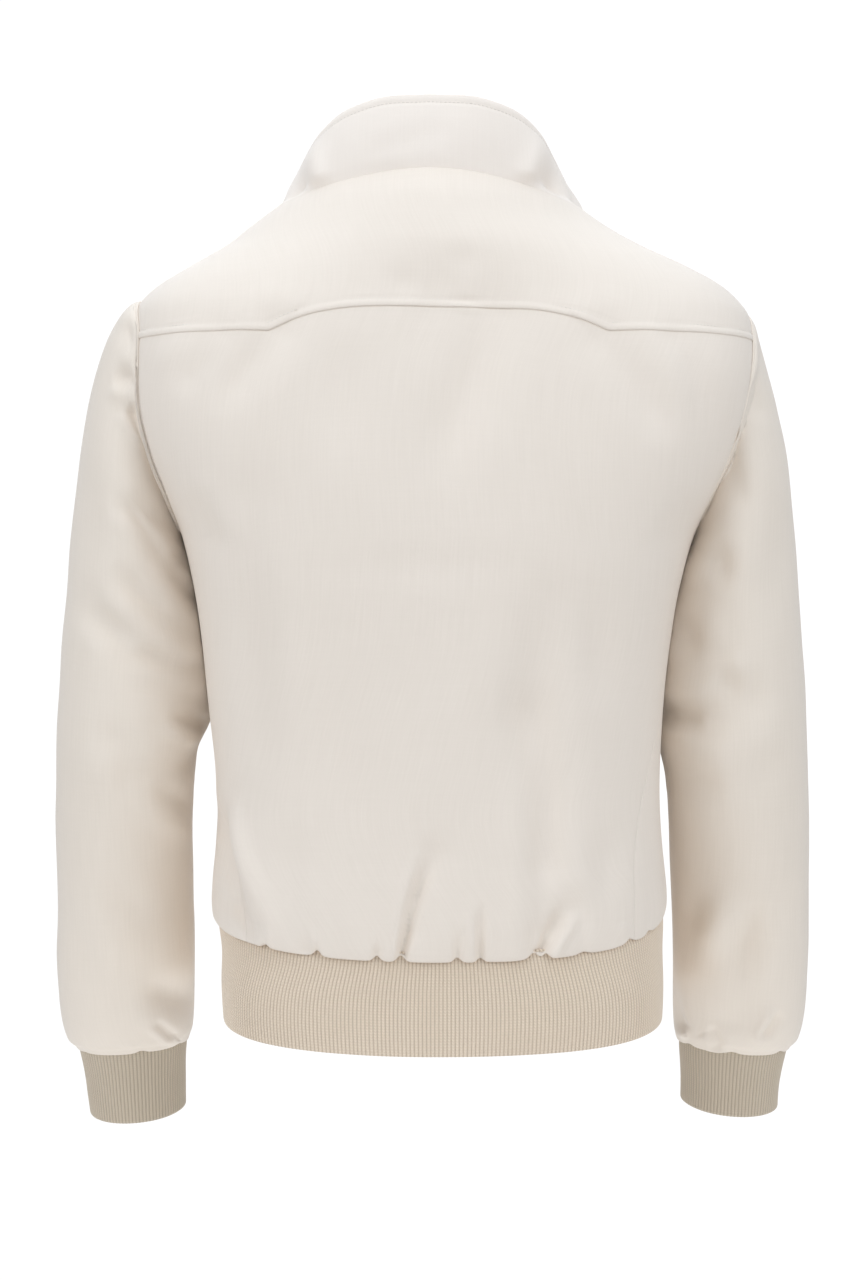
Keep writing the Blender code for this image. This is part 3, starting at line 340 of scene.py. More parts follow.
SLEEVE_BACK_CREASES = {
    "left": (
        (0.233, -0.106, 0.230, -0.122, 0.227, -0.140, 0.0042, 0.0085, 0.0080, 0, 0.3, -0.9),
        (0.246, -0.148, 0.235, -0.152, 0.223, -0.156, 0.0040, 0.0065, 0.0060, 0, 1, 0.8),
        (0.231, -0.172, 0.226, -0.179, 0.219, -0.187, 0.0040, 0.0050, 0.0050, 0, 1, 0.3),
        (0.236, -0.236, 0.218, -0.252, 0.203, -0.268, 0.0040, 0.0085, 0.0070, 0, 0.1, 0.6),
        (0.248, -0.290, 0.222, -0.312, 0.192, -0.340, 0.0046, 0.0095, 0.0080, 0, 0.3, 0.7),
        (0.232, -0.351, 0.210, -0.359, 0.186, -0.366, 0.0040, 0.0065, 0.0070, 0, 0.7, 0.7),
        (0.202, -0.274, 0.196, -0.285, 0.192, -0.298, 0.0022, 0.0060, 0.0060, 0, 0, 0.4),
        (0.258, -0.318, 0.246, -0.336, 0.226, -0.350, 0.0022, 0.0090, 0.0090, 0, 0, 0.4),
        (0.206, -0.398, 0.192, -0.407, 0.178, -0.412, 0.0045, 0.0060, 0.0060, 0, 1, 0.7),
        (0.220, -0.452, 0.203, -0.466, 0.188, -0.478, 0.0042, 0.0090, 0.0080, 0, 0.8, 0.6),
        (0.262, -0.400, 0.240, -0.424, 0.214, -0.436, 0.0028, 0.0130, 0.0120, 0, 0, 0.4),
        (0.236, -0.606, 0.212, -0.622, 0.190, -0.632, 0.0052, 0.0120, 0.0110, 0, 0.5, 0.5),
        (0.225, -0.640, 0.220, -0.647, 0.214, -0.655, 0.0026, 0.0034, 0.0030, 0, 1, 0.6),
        (0.270, -0.200, 0.262, -0.250, 0.256, -0.310, 0.0024, 0.0130, 0.0150, 0, 0, 0.4),
        (0.262, -0.520, 0.240, -0.545, 0.214, -0.556, 0.0028, 0.0130, 0.0130, 0, 0, 0.5),
        (0.284, -0.560, 0.276, -0.590, 0.262, -0.615, 0.0024, 0.0110, 0.0110, 0, 0, 0.4),
    ),
    "right": (
        (-0.222, -0.160, -0.231, -0.172, -0.238, -0.190, 0.0022, 0.0080, 0.0090, 1, 0, 0.4),
        (-0.206, -0.205, -0.216, -0.232, -0.222, -0.262, 0.0029, 0.0090, 0.0110, 0.8, 0, 0.4),
        (-0.198, -0.270, -0.205, -0.290, -0.206, -0.314, 0.0042, 0.0085, 0.0090, 0, 0, 0.4),
        (-0.176, -0.318, -0.182, -0.342, -0.188, -0.366, 0.0048, 0.0090, 0.0095, 0, 0, 0.5),
        (-0.168, -0.400, -0.182, -0.404, -0.198, -0.408, 0.0045, 0.0080, 0.0090, 0.8, 0, -0.5),
        (-0.198, -0.371, -0.211, -0.379, -0.226, -0.386, 0.0036, 0.0085, 0.0080, 0, 0, -0.4),
        (-0.172, -0.440, -0.192, -0.452, -0.214, -0.458, 0.0032, 0.0100, 0.0120, 0.6, 0, -0.4),
        (-0.246, -0.536, -0.230, -0.574, -0.206, -0.614, 0.0084, 0.0120, 0.0125, 0, 0, 0.6),
        (-0.244, -0.552, -0.234, -0.590, -0.218, -0.626, 0.0026, 0.0090, 0.0090, 0, 0, -0.5),
        (-0.196, -0.530, -0.190, -0.570, -0.192, -0.612, 0.0046, 0.0100, 0.0100, 0, 0, 0.4),
        (-0.207, -0.648, -0.212, -0.653, -0.216, -0.662, 0.0022, 0.0036, 0.0032, 0, 1, 0.6),
        (-0.264, -0.634, -0.259, -0.643, -0.253, -0.652, 0.0038, 0.0050, 0.0036, 0, 1, 0.7),
        (-0.180, -0.616, -0.183, -0.632, -0.190, -0.650, 0.0035, 0.0050, 0.0036, 0, 1, 0.7),
        (-0.252, -0.230, -0.246, -0.290, -0.240, -0.350, 0.0024, 0.0140, 0.0150, 0, 0, 0.4),
        (-0.250, -0.420, -0.236, -0.450, -0.214, -0.480, 0.0026, 0.0140, 0.0140, 0, 0, 0.5),
    ),
}
SLEEVE_FRONT_CREASES = {
    "left": (
        (0.228, -0.236, 0.214, -0.256, 0.200, -0.280, 0.0040, 0.0100, 0.0090, 0, 0.6, -0.5),
        (0.252, -0.350, 0.226, -0.374, 0.194, -0.386, 0.0054, 0.0110, 0.0100, 0, 0.7, -0.6),
        (0.262, -0.392, 0.236, -0.414, 0.200, -0.422, 0.0050, 0.0100, 0.0090, 0, 0.7, -0.6),
        (0.256, -0.440, 0.236, -0.452, 0.206, -0.456, 0.0031, 0.0090, 0.0090, 0, 0.5, -0.5),
        (0.268, -0.540, 0.246, -0.570, 0.222, -0.586, 0.0036, 0.0120, 0.0120, 0, 0, -0.5),
        (0.236, -0.646, 0.230, -0.656, 0.226, -0.668, 0.0022, 0.0040, 0.0030, 0, 1, 0.6),
        (0.268, -0.640, 0.266, -0.652, 0.262, -0.664, 0.0022, 0.0045, 0.0030, 0, 1, 0.5),
    ),
    "right": (
        (-0.222, -0.236, -0.208, -0.258, -0.194, -0.282, 0.0040, 0.0100, 0.0090, 0, 0.6, 0.5),
        (-0.240, -0.342, -0.214, -0.366, -0.184, -0.380, 0.0050, 0.0110, 0.0100, 0, 0.7, 0.6),
        (-0.246, -0.396, -0.222, -0.414, -0.190, -0.422, 0.0054, 0.0100, 0.0090, 0, 0.7, 0.6),
        (-0.244, -0.444, -0.224, -0.458, -0.196, -0.462, 0.0028, 0.0090, 0.0090, 0, 0.5, 0.5),
        (-0.258, -0.536, -0.238, -0.566, -0.212, -0.590, 0.0036, 0.0120, 0.0120, 0, 0, 0.5),
        (-0.226, -0.644, -0.222, -0.656, -0.220, -0.668, 0.0022, 0.0040, 0.0030, 0, 1, 0.6),
    ),
}
CREASE_STEPS = 10
CREASE_FADE = 0.45           # share of a crease over which an end fades out
CREASE_RIDGE = 0.32          # height of the ridges beside it, as a share of its depth
CREASE_RIDGE_OFF = 2.1       # and their distance from it, in its widths

# Small puckers where the cloth is sewn to the hem rib. Columns: face, x, strength, width, raise.
HEM_PUCKERS = (
    ("back", 0.0905, 0.95, 0.0028, 0.0016),
    ("back", 0.1270, 0.50, 0.0030, 0.0008),
    ("back", 0.0480, 0.80, 0.0026, 0.0012),
    ("back", 0.0310, 0.95, 0.0028, 0.0016),
    ("back", -0.0095, 0.75, 0.0026, 0.0012),
    ("back", -0.0260, 0.70, 0.0026, 0.0008),
    ("back", -0.0645, 1.00, 0.0036, 0.0020),
    ("back", -0.0730, 0.80, 0.0026, 0.0016),
    ("back", -0.1000, 0.35, 0.0040, 0.0008),
    ("back", -0.1340, 0.60, 0.0040, 0.0016),
    ("back", -0.1490, 0.40, 0.0036, 0.0010),
    ("front", 0.1480, 0.60, 0.0036, 0.0012),
    ("front", 0.1280, 0.50, 0.0030, 0.0010),
    ("front", 0.1060, 0.90, 0.0030, 0.0016),
    ("front", 0.0830, 0.50, 0.0028, 0.0010),
    ("front", 0.0600, 0.90, 0.0030, 0.0016),
    ("front", 0.0380, 0.80, 0.0026, 0.0012),
    ("front", -0.0320, 0.85, 0.0028, 0.0014),
    ("front", -0.0540, 0.50, 0.0026, 0.0010),
    ("front", -0.0780, 0.95, 0.0032, 0.0018),
    ("front", -0.1040, 0.80, 0.0030, 0.0014),
    ("front", -0.1300, 0.60, 0.0034, 0.0012),
)
# And to the cuffs, by turn round the sleeve in degrees (0 outside, 90 behind, 180 inside).
# Columns: turn, strength, width in degrees, raise.
CUFF_PUCKERS = {
    "left": (
        (104, 0.95, 4.0, 0.0016),
        (36, 0.35, 5.0, 0.0006),
        (150, 0.45, 5.0, 0.0010),
        (196, 0.70, 5.0, 0.0012),
        (238, 0.80, 4.5, 0.0014),
        (274, 0.60, 4.0, 0.0010),
        (312, 0.75, 5.0, 0.0012),
        (346, 0.45, 5.0, 0.0008),
    ),
    "right": (
        (97, 0.90, 4.0, 0.0014),
        (40, 0.95, 4.5, 0.0018),
        (148, 0.80, 5.0, 0.0014),
        (190, 0.60, 5.0, 0.0012),
        (232, 0.75, 4.5, 0.0014),
        (268, 0.60, 4.0, 0.0010),
        (306, 0.80, 5.0, 0.0012),
        (345, 0.40, 5.0, 0.0008),
    ),
}
# How far the sleeve stands out (or dips in) beside its armhole seam, by turn.
CAP = Table(
    ("turn", "left", "right"),
    (
        (-90, -0.0010, -0.0010),
        (-60, 0.0005, 0.0005),
        (-20, 0.0020, 0.0014),
        (0, 0.0028, 0.0016),
        (22, 0.0034, 0.0018),
        (48, 0.0016, 0.0020),
        (72, -0.0004, 0.0004),
        (92, -0.0036, -0.0014),
        (120, -0.0062, -0.0046),
        (150, -0.0046, -0.0050),
        (180, -0.0030, -0.0030),
        (220, -0.0026, -0.0026),
        (270, -0.0010, -0.0010),
    ),
)

# Mesh stations
SHOULDER_STEPS = 72
NECK_BACK_STEPS = 120
NECK_FRONT_STEPS = 64
YOKE_ROWS = 54
ARMHOLE_BACK_STEPS = 68
ARMHOLE_FRONT_STEPS = 96
SIDE_STEPS = 148
SLEEVE_TURNS = 180
SLEEVE_STATIONS = 250
CUFF_WALES = 88
RIB_PHASES = (0.0, 0.12, 0.30, 0.50, 0.70, 0.88)
RIB_ROWS = 24
COLLAR_STATIONS = 44
EDGE_FADE = np.array((1, 3))   # how fast an edge's angles and heights give way to straight rows
GUIDE_WEIGHT = 0.25

# Cloth and its seams
CLOTH_THICK = 0.0011
COLLAR_PLY = 0.0011          # one of the collar's two layers
COLLAR_ROUND = 0.0010        # radius of its border
RIB_THICK = 0.0024
TOPSTITCH = 0.0060           # distance of the topstitching from an edge
STITCH_LENGTH = 0.0024
STITCH_PITCH = 0.0031
STITCH_RADIUS = 0.00026
RIB_PITCH = 0.0027
CUFF_PITCH = 0.0026
COURSE_PITCH = 0.0019
RIB_DEPTH = 0.00068
ARMHOLE_GROOVE = (0.0005, 0.0024)   # depth and width of the sunk seams
PRESSED_GROOVE = (0.00045, 0.0012)
HEM_OUT = 0.0034             # how far the cloth puffs out over the rib
HEM_ROLL = 0.0046            # and rolls down over it

# Zip
CHAIN_HALF = 0.00275
TAPE_THICK = 0.0007
TOOTH_PITCH = 0.0024
TEETH_GAP = 0.0012           # between the box and the lowest tooth
TEETH_TOP = -0.1024
BOX_HEIGHT = 0.0110
SLIDER_FRAME = Matrix((
    (1, 0, 0, 0),
    (0, 0.3354, -0.9421, -0.088768),
    (0, 0.9421, 0.3354, -0.096000),
    (0, 0, 0, 1),
))
TAB_AXIS = Vector((0, -0.092212, -0.095835))
TAB_HOLE = np.array((0.0, -3.4))   # middle of its hole, in millimetres from its axis

# Studio
CAMERA = Vector((0.0125, 1.9, -0.346))
LENS = 70.3
FLOOR = -1.15
FLOOR_RADIUS = 0.9
DAYLIGHT = (0.965, 1.0, 1.047)
# Columns: name, place, target, size, watts, colour.
LIGHTS = (
    ("light_left", (1.9, 1.4, 0.6), (0, 0, -0.3), 1.6, 17.4, DAYLIGHT),
    ("light_right", (-1.6, 1.7, 0.8), (0, 0, -0.3), 1.6, 17, DAYLIGHT),
    ("light_top", (0, 0.2, 1.5), (0, 0, -0.2), 2.0, 17.2, (0.90, 1.0, 1.11)),
    ("light_behind", (0, 2.7, -0.4), (0, 0, -0.35), 1.6, 3.6, DAYLIGHT),
    ("light_front", (0.1, -2.2, 1.3), (0, 0, -0.3), 2.2, 24, DAYLIGHT),
)


def smooth(x):
    """0 below 0, 1 above 1, and a soft step between."""
    x = np.clip(x, 0, 1)
    return x * x * (3 - 2 * x)


def bell(x):
    """1 at 0, falling softly to 0 at about 2."""
    return np.exp(-(x * x))


def wander(points, scale, seed=0):
    """Smooth noise between -1 and 1 with features of the size of scale."""
    place = points / scale + seed * 17.31
    cell = np.floor(place)
    share = place - cell
    share = share * share * (3 - 2 * share)
    total = 0
    for corner in np.ndindex(2, 2, 2):
        at = cell + corner
        mixed = np.sin(at[..., 0] * 127.1 + at[..., 1] * 311.7 + at[..., 2] * 74.7) * 43758.5453
        value = 2 * (mixed - np.floor(mixed)) - 1
        weight = 1
        for axis in range(3):
            weight = weight * (share[..., axis] if corner[axis] else 1 - share[..., axis])
        total = total + weight * value
    return total


def graded(steps, start=1.0, end=1.0, reach=8):
    """Shares from 0 to 1 whose first and last steps are that much finer."""
    i = np.arange(steps)
    size = 1 - (1 - start) * bell(i / reach) - (1 - end) * bell((steps - 1 - i) / reach)
    return np.concatenate(([0], np.cumsum(size))) / size.sum()


def unit(vectors):
    """The same directions at length 1."""
    return vectors / np.maximum(np.linalg.norm(vectors, axis=-1, keepdims=True), 1e-12)


def travelled(points, axis=0):
    """Distance of each point from the first one, along its line of points."""
    steps = np.linalg.norm(np.diff(points, axis=axis), axis=-1)
    first = np.zeros_like(np.take(steps, [0], axis))
    return np.concatenate((first, np.cumsum(steps, axis)), axis)

# Form

def body_point(angle, z):
    """The body form's point at an angle and a height."""
    square = BODY("square", z)
    deep = np.where(np.cos(angle) > 0, BODY("back", z), BODY("front", z))
    shift = BODY("shift", z) * np.where(np.cos(angle) > 0, 1, np.sin(angle) ** 2)
    across = (np.sin(angle) + square * np.sin(3 * angle)) / (1 - square)
    along = (np.cos(angle) - square * np.cos(3 * angle)) / (1 - square)
    return np.stack((shift + BODY("half_width", z) * across, deep * along, z + 0 * angle), -1)


def body_normal(angle, z):
    """Outward unit normal of the body form."""
    step = 0.002
    across = body_point(angle + step, z) - body_point(angle - step, z)
    up = body_point(angle, z + step) - body_point(angle, z - step)
    return unit(np.cross(up, across))


def distance_to_line(point, start, end):
    """Distance of points from the segment between two points, in a plane."""
    along = end - start
    share = np.clip(((point - start) @ along) / (along @ along), 0, 1)
    return np.linalg.norm(point - (start + share[..., None] * along), axis=-1)


def folded_body(angle, z):
    """The body form with its largest folds."""
    points = body_point(angle, z)
    depth = np.zeros(points.shape[:-1])
    for face, x0, z0, x1, z1, fold, spread in BODY_FOLDS:
        on_face = points[..., 1] > 0 if face == "back" else points[..., 1] < 0
        away = distance_to_line(points[..., [0, 2]], np.array((x0, z0)), np.array((x1, z1)))
        depth += np.where(on_face, fold * bell(away / spread), 0)
    points[..., 1] += depth * np.sign(np.cos(angle)) * smooth((z - hem_height(angle)) / 0.020)
    return points


def neck_height(angle):
    """Height of the neck seam at an angle."""
    turn = np.sin(angle)
    front = NECK_SIDE + (NECK_FRONT - NECK_SIDE) * (1 - np.abs(turn)) ** NECK_SCOOP
    return np.where(np.cos(angle) > 0, NECK_SIDE * turn ** 2, front)


def hem_height(angle):
    """Height of the hem seam at an angle."""
    dip = np.where(np.cos(angle) > 0, HEM_DIP_BACK, HEM_DIP_FRONT)
    return HEM - dip * np.cos(angle) ** 2 + hem_raise(angle)


def hem_raise(angle):
    """How much the cloth is drawn up over the rib."""
    return HEM_RAISE("raise", np.degrees(angle))


def yoke_height(angle):
    """Height of the yoke seam: level ends and an arched middle."""
    share = np.abs((angle - YOKE_MIDDLE) / YOKE_CORNER)
    return YOKE_SIDE + YOKE_RISE * np.clip(1 - share ** 3, 0, 1)


def front_edge_angle(z):
    """The angle at which a front panel's edge runs beside the zip."""
    square = BODY("square", z)
    return math.pi - FRONT_EDGE * (1 - square) / (BODY("half_width", z) * (1 + 3 * square))


def armhole_place(side, turn):
    """Angle and height on an armhole. turn is 0 at the top, 90 degrees behind, 180 at the armpit."""
    top = ARMHOLE_TOP[side]
    swing = np.where(np.sin(turn) > 0, ARMHOLE_SWING_BACK[side], ARMHOLE_SWING_FRONT)
    full = 1 + ARMHOLE_FULLNESS[side] * np.clip(np.cos(turn), 0, 1) ** 2 * (np.sin(turn) > 0)
    angle = math.pi / 2 - swing * full * np.sin(turn)
    return angle, (top + ARMPIT) / 2 + (top - ARMPIT) / 2 * np.cos(turn)


def armhole_marks(side):
    """Turns at which the shoulder seam and the yoke seam meet the armhole."""
    top = ARMHOLE_TOP[side]
    start = -math.asin(SHOULDER_TIP_FORWARD / ARMHOLE_SWING_FRONT)
    return start, math.acos((YOKE_SIDE - (top + ARMPIT) / 2) / ((top - ARMPIT) / 2))


def armhole_line(side, first, last, shares):
    """Places on the armhole between two turns."""
    return np.stack(armhole_place(side, first + (last - first) * shares), -1)


def shoulder_neck_angle():
    """The angle at which the shoulder seam meets the neck seam."""
    return math.pi / 2 + math.asin(SHOULDER_FORWARD / float(BODY("front", NECK_SIDE)))


def shoulder_line(side, shares):
    """The shoulder seam from armhole to neck."""
    start = armhole_line(side, armhole_marks(side)[0], 0, np.zeros(1))
    angle = shoulder_neck_angle()
    end = np.array((angle, float(neck_height(angle))))
    return start + (end - start) * shares[:, None]


def side_line(side, shares):
    """The side seam from hem to armpit."""
    low = float(hem_height(math.radians(SIDE_SEAM(side, HEM))))
    heights = low + (ARMPIT - low) * shares
    return np.stack((np.radians(SIDE_SEAM(side, heights)), heights), -1)


def mirrored(places):
    """The same places on the wearer's right side."""
    return places * (-1, 1)


def arc_shares(places):
    """How far along a line of places each one is, from 0 to 1."""
    at = travelled(body_point(places[:, 0], places[:, 1]))
    return at / at[-1]


def fill_patch(bottom, top, first, last):
    """A grid of (angle, height) places between four edges that meet at their ends."""
    across = ((arc_shares(bottom) + arc_shares(top)) / 2)[None, :, None]
    up = ((arc_shares(first) + arc_shares(last)) / 2)[:, None, None]
    rows = (1 - up) * bottom[None] + up * top[None]
    first_off = first[:, None] - ((1 - up) * bottom[0] + up * top[0])
    last_off = last[:, None] - ((1 - up) * bottom[-1] + up * top[-1])
    return rows + first_off * (1 - across) ** EDGE_FADE + last_off * across ** EDGE_FADE


def seam_line(height, start, end, shares):
    """A seam between two angles, from its function of height."""
    angles = start + (end - start) * shares
    return np.stack((angles, height(angles)), -1)


def back_panel_places():
    """Left side to right side, hem to yoke seam."""
    edges = {}
    for side in ("left", "right"):
        armhole = armhole_line(side, math.pi, armhole_marks(side)[1], graded(ARMHOLE_BACK_STEPS, 1, 0.3))
        edges[side] = np.concatenate((side_line(side, graded(SIDE_STEPS, 0.2, 1, 14)), armhole[1:]))
    first, last = edges["left"], mirrored(edges["right"])
    shares = graded(2 * SHOULDER_STEPS + NECK_BACK_STEPS, 0.4, 0.4, 5)
    return fill_patch(
        seam_line(hem_height, first[0, 0], last[0, 0], shares),
        seam_line(yoke_height, first[-1, 0], last[-1, 0], shares),
        first,
        last,
    )


def yoke_places():
    """Left armhole to right armhole, yoke seam to shoulder and neck seams."""
    edges = {}
    for side in ("left", "right"):
        start, seam = armhole_marks(side)
        edges[side] = armhole_line(side, seam, start, graded(YOKE_ROWS, 0.35, 0.4, 6))
    left, right = edges["left"], mirrored(edges["right"])
    shares = graded(SHOULDER_STEPS, 0.4, 1, 5)
    angle = shoulder_neck_angle()
    neck = np.linspace(angle, -angle, NECK_BACK_STEPS + 1)
    top = np.concatenate((
        shoulder_line("left", shares)[:-1],
        np.stack((neck, neck_height(neck)), -1),
        mirrored(shoulder_line("right", shares)[::-1][1:]),
    ))
    bottom = seam_line(yoke_height, left[0, 0], right[0, 0], arc_shares(top))
    return fill_patch(bottom, top, left, right)


def front_places(side):
    """Side to centre front, hem to shoulder and neck seams."""
    start = armhole_marks(side)[0] + 2 * math.pi
    armhole = armhole_line(side, math.pi, start, graded(ARMHOLE_FRONT_STEPS, 1, 0.4))
    outer = np.concatenate((side_line(side, graded(SIDE_STEPS, 0.2, 1, 14)), armhole[1:]))
    angle, end = shoulder_neck_angle(), float(front_edge_angle(NECK_FRONT))
    neck = angle + (end - angle) * graded(NECK_FRONT_STEPS, 1, 0.4, 5)
    top = np.concatenate((
        shoulder_line(side, graded(SHOULDER_STEPS, 0.4, 1, 5)),
        np.stack((neck, neck_height(neck)), -1)[1:],
    ))
    low = float(hem_height(math.pi))
    heights = low + (NECK_FRONT - low) * arc_shares(outer)
    centre = np.stack((front_edge_angle(heights), heights), -1)
    bottom = seam_line(hem_height, outer[0, 0], centre[0, 0], arc_shares(top))
    centre[0, 1], centre[-1] = bottom[-1, 1], top[-1]
    return fill_patch(bottom, top, outer, centre)


# Creases and seams

def crease_line(row):
    """Points along a crease's curve."""
    start, middle, end = (np.array(row[i:i + 2]) for i in (0, 2, 4))
    control = 2 * middle - (start + end) / 2
    t = np.linspace(0, 1, CREASE_STEPS + 1)[:, None]
    return (1 - t) ** 2 * start + 2 * t * (1 - t) * control + t ** 2 * end


def crease_relief(place, creases):
    """How far creases move points outwards, with their places as seen from behind or in front."""
    relief = np.zeros(place.shape[:-1])
    for row in creases:
        depth, width0, width1, open0, open1, lean = row[6:]
        line = crease_line(row)
        margin = 4 * max(width0, width1)
        inside = np.all((place > line.min(0) - margin) & (place < line.max(0) + margin), axis=-1)
        spots = place[inside]
        if not len(spots):
            continue
        nearest = np.full(len(spots), np.inf)
        along = np.zeros(len(spots))
        side = np.zeros(len(spots))
        for i, (start, end) in enumerate(zip(line[:-1], line[1:])):
            step = end - start
            share = np.clip(((spots - start) @ step) / (step @ step), 0, 1)
            off = spots - start - share[:, None] * step
            away = np.linalg.norm(off, axis=-1)
            closer = away < nearest
            nearest = np.where(closer, away, nearest)
            along = np.where(closer, (i + share) / CREASE_STEPS, along)
            side = np.where(closer, np.sign(step[0] * off[:, 1] - step[1] * off[:, 0]), side)
        width = width0 + (width1 - width0) * along
        across = nearest / width
        fade = open0 + (1 - open0) * smooth(along / CREASE_FADE)
        fade *= open1 + (1 - open1) * smooth((1 - along) / CREASE_FADE)
        ridge = CREASE_RIDGE * (1 + lean * side) * bell(across - CREASE_RIDGE_OFF)
        relief[inside] += depth * fade * (ridge - bell(across))
    return relief


def nearest_on(curve, points):
    """Distance of each point from a curve."""
    tree = kdtree.KDTree(len(curve))
    for i, spot in enumerate(curve):
        tree.insert(spot, i)
    tree.balance()
    flat = points.reshape(-1, 3)
    return np.array([tree.find(spot)[2] for spot in flat]).reshape(points.shape[:-1])


def hem_arc(angle):
    """Distance along the hem from centre back."""
    fine = np.linspace(0, math.pi, 721)
    arc = travelled(body_point(fine, hem_height(fine)))
    return np.sign(angle) * np.interp(np.abs(angle), fine, arc)


def pucker_places():
    """Where the hem's puckers are, in metres along the hem, with strength, width and raise."""
    angles = np.linspace(-math.pi / 2, math.pi / 2, 721)
    xs = body_point(angles, hem_height(angles))[:, 0]
    rows = []
    for face, x, strength, width, lift in HEM_PUCKERS:
        angle = float(np.interp(x, xs, angles))
        if face == "front":
            angle = math.copysign(math.pi, x) - angle
        rows.append((float(hem_arc(np.array(angle))), strength, width, lift))
    return rows


def gathers(arc):
    """Fine uneven gathers along a seam, between about -1 and 1."""
    place = np.stack((arc, 0 * arc, 0 * arc), -1)
    return 0.55 * wander(place, 0.0085, 3) + 0.45 * wander(place, 0.0190, 4)


class Puckers:
    """How hard the cloth is pulled in at a seam, and how far the seam is raised there."""

    def __init__(self, rows, length):
        self.rows = rows
        self.length = length

    def __call__(self, arc):
        pull, lift = 0 * arc, 0 * arc
        for place, strength, width, rise in self.rows:
            away = arc - place
            away = away - self.length * np.round(away / self.length)
            pull = np.maximum(pull, strength * bell(away / width))
            lift = np.maximum(lift, rise * bell(away / (2.2 * width)))
        return pull, lift


def roll(height, pull, lift, out=HEM_OUT, down=HEM_ROLL):
    """How far cloth near a rib puffs out and rolls down, by its height over the seam."""
    puff = out * (1 - np.exp(-height / 0.0022)) * bell(height / 0.040)
    puff = puff * (1 - 0.85 * pull * np.exp(-height / 0.009)) - 0.0007 * np.exp(-height / 0.001)
    share = height / 0.0024
    drop = down * (1 - 0.8 * pull) * share * np.exp(1 - share)
    drop -= lift * np.exp(-height / 0.010)
    return puff, drop


class BodySurface:
    """The finished outside of the body, as a function of angle and height."""

    def __init__(self):
        self.puckers = Puckers(pucker_places(), 2 * float(hem_arc(np.array(math.pi))))
        shares = np.linspace(0, 1, 400)
        armholes, pressed = [], []
        for side, sign in SIGN.items():
            for group, places in (
                (armholes, armhole_line(side, 0, 2 * math.pi, shares)),
                (pressed, side_line(side, shares)),
                (pressed, shoulder_line(side, shares)),
            ):
                group.append(folded_body(sign * places[:, 0], places[:, 1]))
        self.armholes, self.pressed = np.concatenate(armholes), np.concatenate(pressed)
        seam = seam_line(yoke_height, 1.6, -1.6, np.linspace(0, 1, 1600))
        self.yoke_edge = folded_body(*seam.T)

    def points(self, angle, z, piece):
        """Points and outward normals of a piece's outside."""
        base, normal = folded_body(angle, z), body_normal(angle, z)
        out = self.relief(base, normal, angle, z)
        down = 0 * z
        if piece == "panel":
            height = np.maximum(z - hem_height(angle), 0)
            arc = hem_arc(angle)
            puff, down = roll(height, *self.puckers(arc))
            ripple = gathers(arc) * bell(height / 0.030) * (1 - np.exp(-height / 0.003))
            out += puff + 0.0006 * ripple
            below = yoke_height(angle) - z
            tuck = np.where(np.abs(angle) < 1.5, smooth((0.0016 - below) / 0.0016), 0)
            out -= 0.0009 * tuck
            down = down - 0.0030 * tuck
            from_edge = np.abs(base[..., 0]) - FRONT_EDGE
            groove = 0.0004 * bell((from_edge - TOPSTITCH) / 0.0009) + 0.0005 * bell(from_edge / 0.0005)
            out -= np.where(base[..., 1] < 0, groove, 0)
        if piece == "yoke":
            away = nearest_on(self.yoke_edge, base)
            out += 0.0008 * np.exp(-away / 0.010) - 0.0005 * bell(away / 0.0004)
            out -= 0.0005 * bell((away - TOPSTITCH) / 0.0009)
            out += 0.0004 * bell((away - 0.5 * TOPSTITCH) / 0.0016)
        points = base + normal * out[..., None]
        points[..., 1] -= self.side_drop(base, angle, z)
        points[..., 2] -= down
        return points, normal

    def side_drop(self, base, angle, z):
        """How far the cloth beyond the side fold lies further forward."""
        beyond = smooth((base[..., 0] - SIDE_FOLD("across", z)) / 0.011)
        reach = smooth((-0.442 - z) / 0.030) * smooth((z - hem_height(angle) - 0.002) / 0.022)
        return SIDE_DROP * beyond * reach * smooth((2.5 - angle) / 1.0)

    def relief(self, base, normal, angle, z):
        """Creases, soft waves and sunk seams that all pieces share."""
        place = base[..., [0, 2]]
        behind = smooth((normal[..., 1] + 0.05) / 0.45)
        before = smooth((0.05 - normal[..., 1]) / 0.45)
        out = crease_relief(place, BACK_CREASES) * behind
        out += crease_relief(place, FRONT_CREASES) * before
        out += 0.0011 * wander(base * (1, 1, 0.6), 0.085, 1) + 0.0004 * wander(base * (1, 1, 0.7), 0.034, 2)
        sunk = smooth((-0.052 - z) / 0.050) * smooth((z + 0.400) / 0.270)
        out -= YOKE_HOLLOW * bell((base[..., 0] + 0.010) / 0.070) * sunk * behind
        out *= smooth((z - hem_height(angle)) / 0.004)
        for seam, (depth, width) in ((self.armholes, ARMHOLE_GROOVE), (self.pressed, PRESSED_GROOVE)):
            out -= depth * bell(nearest_on(seam, base) / width)
        return out


# Meshes

def grid_normals(points, ring, guide=0):
    """Unit normals of a grid of points, on the side its faces turn to. guide decides at slivers."""
    across = np.roll(points, -1, 1) - np.roll(points, 1, 1) if ring else np.gradient(points, axis=1)
    normals = np.cross(across, np.gradient(points, axis=0))
    normals = normals + GUIDE_WEIGHT * np.median(np.linalg.norm(normals, axis=-1)) * guide
    return unit(normals)


def grain_coordinates(points, ring):
    """Distances across and along the cloth in metres, with the ring's last column repeated."""
    if ring:
        points = np.concatenate((points, points[:, :1]), 1)
    across = travelled(points, 1)
    across -= across[:, across.shape[1] // 2][:, None]
    along = travelled(points).mean(1)[:, None]
    return np.stack(np.broadcast_arrays(across, along), -1)


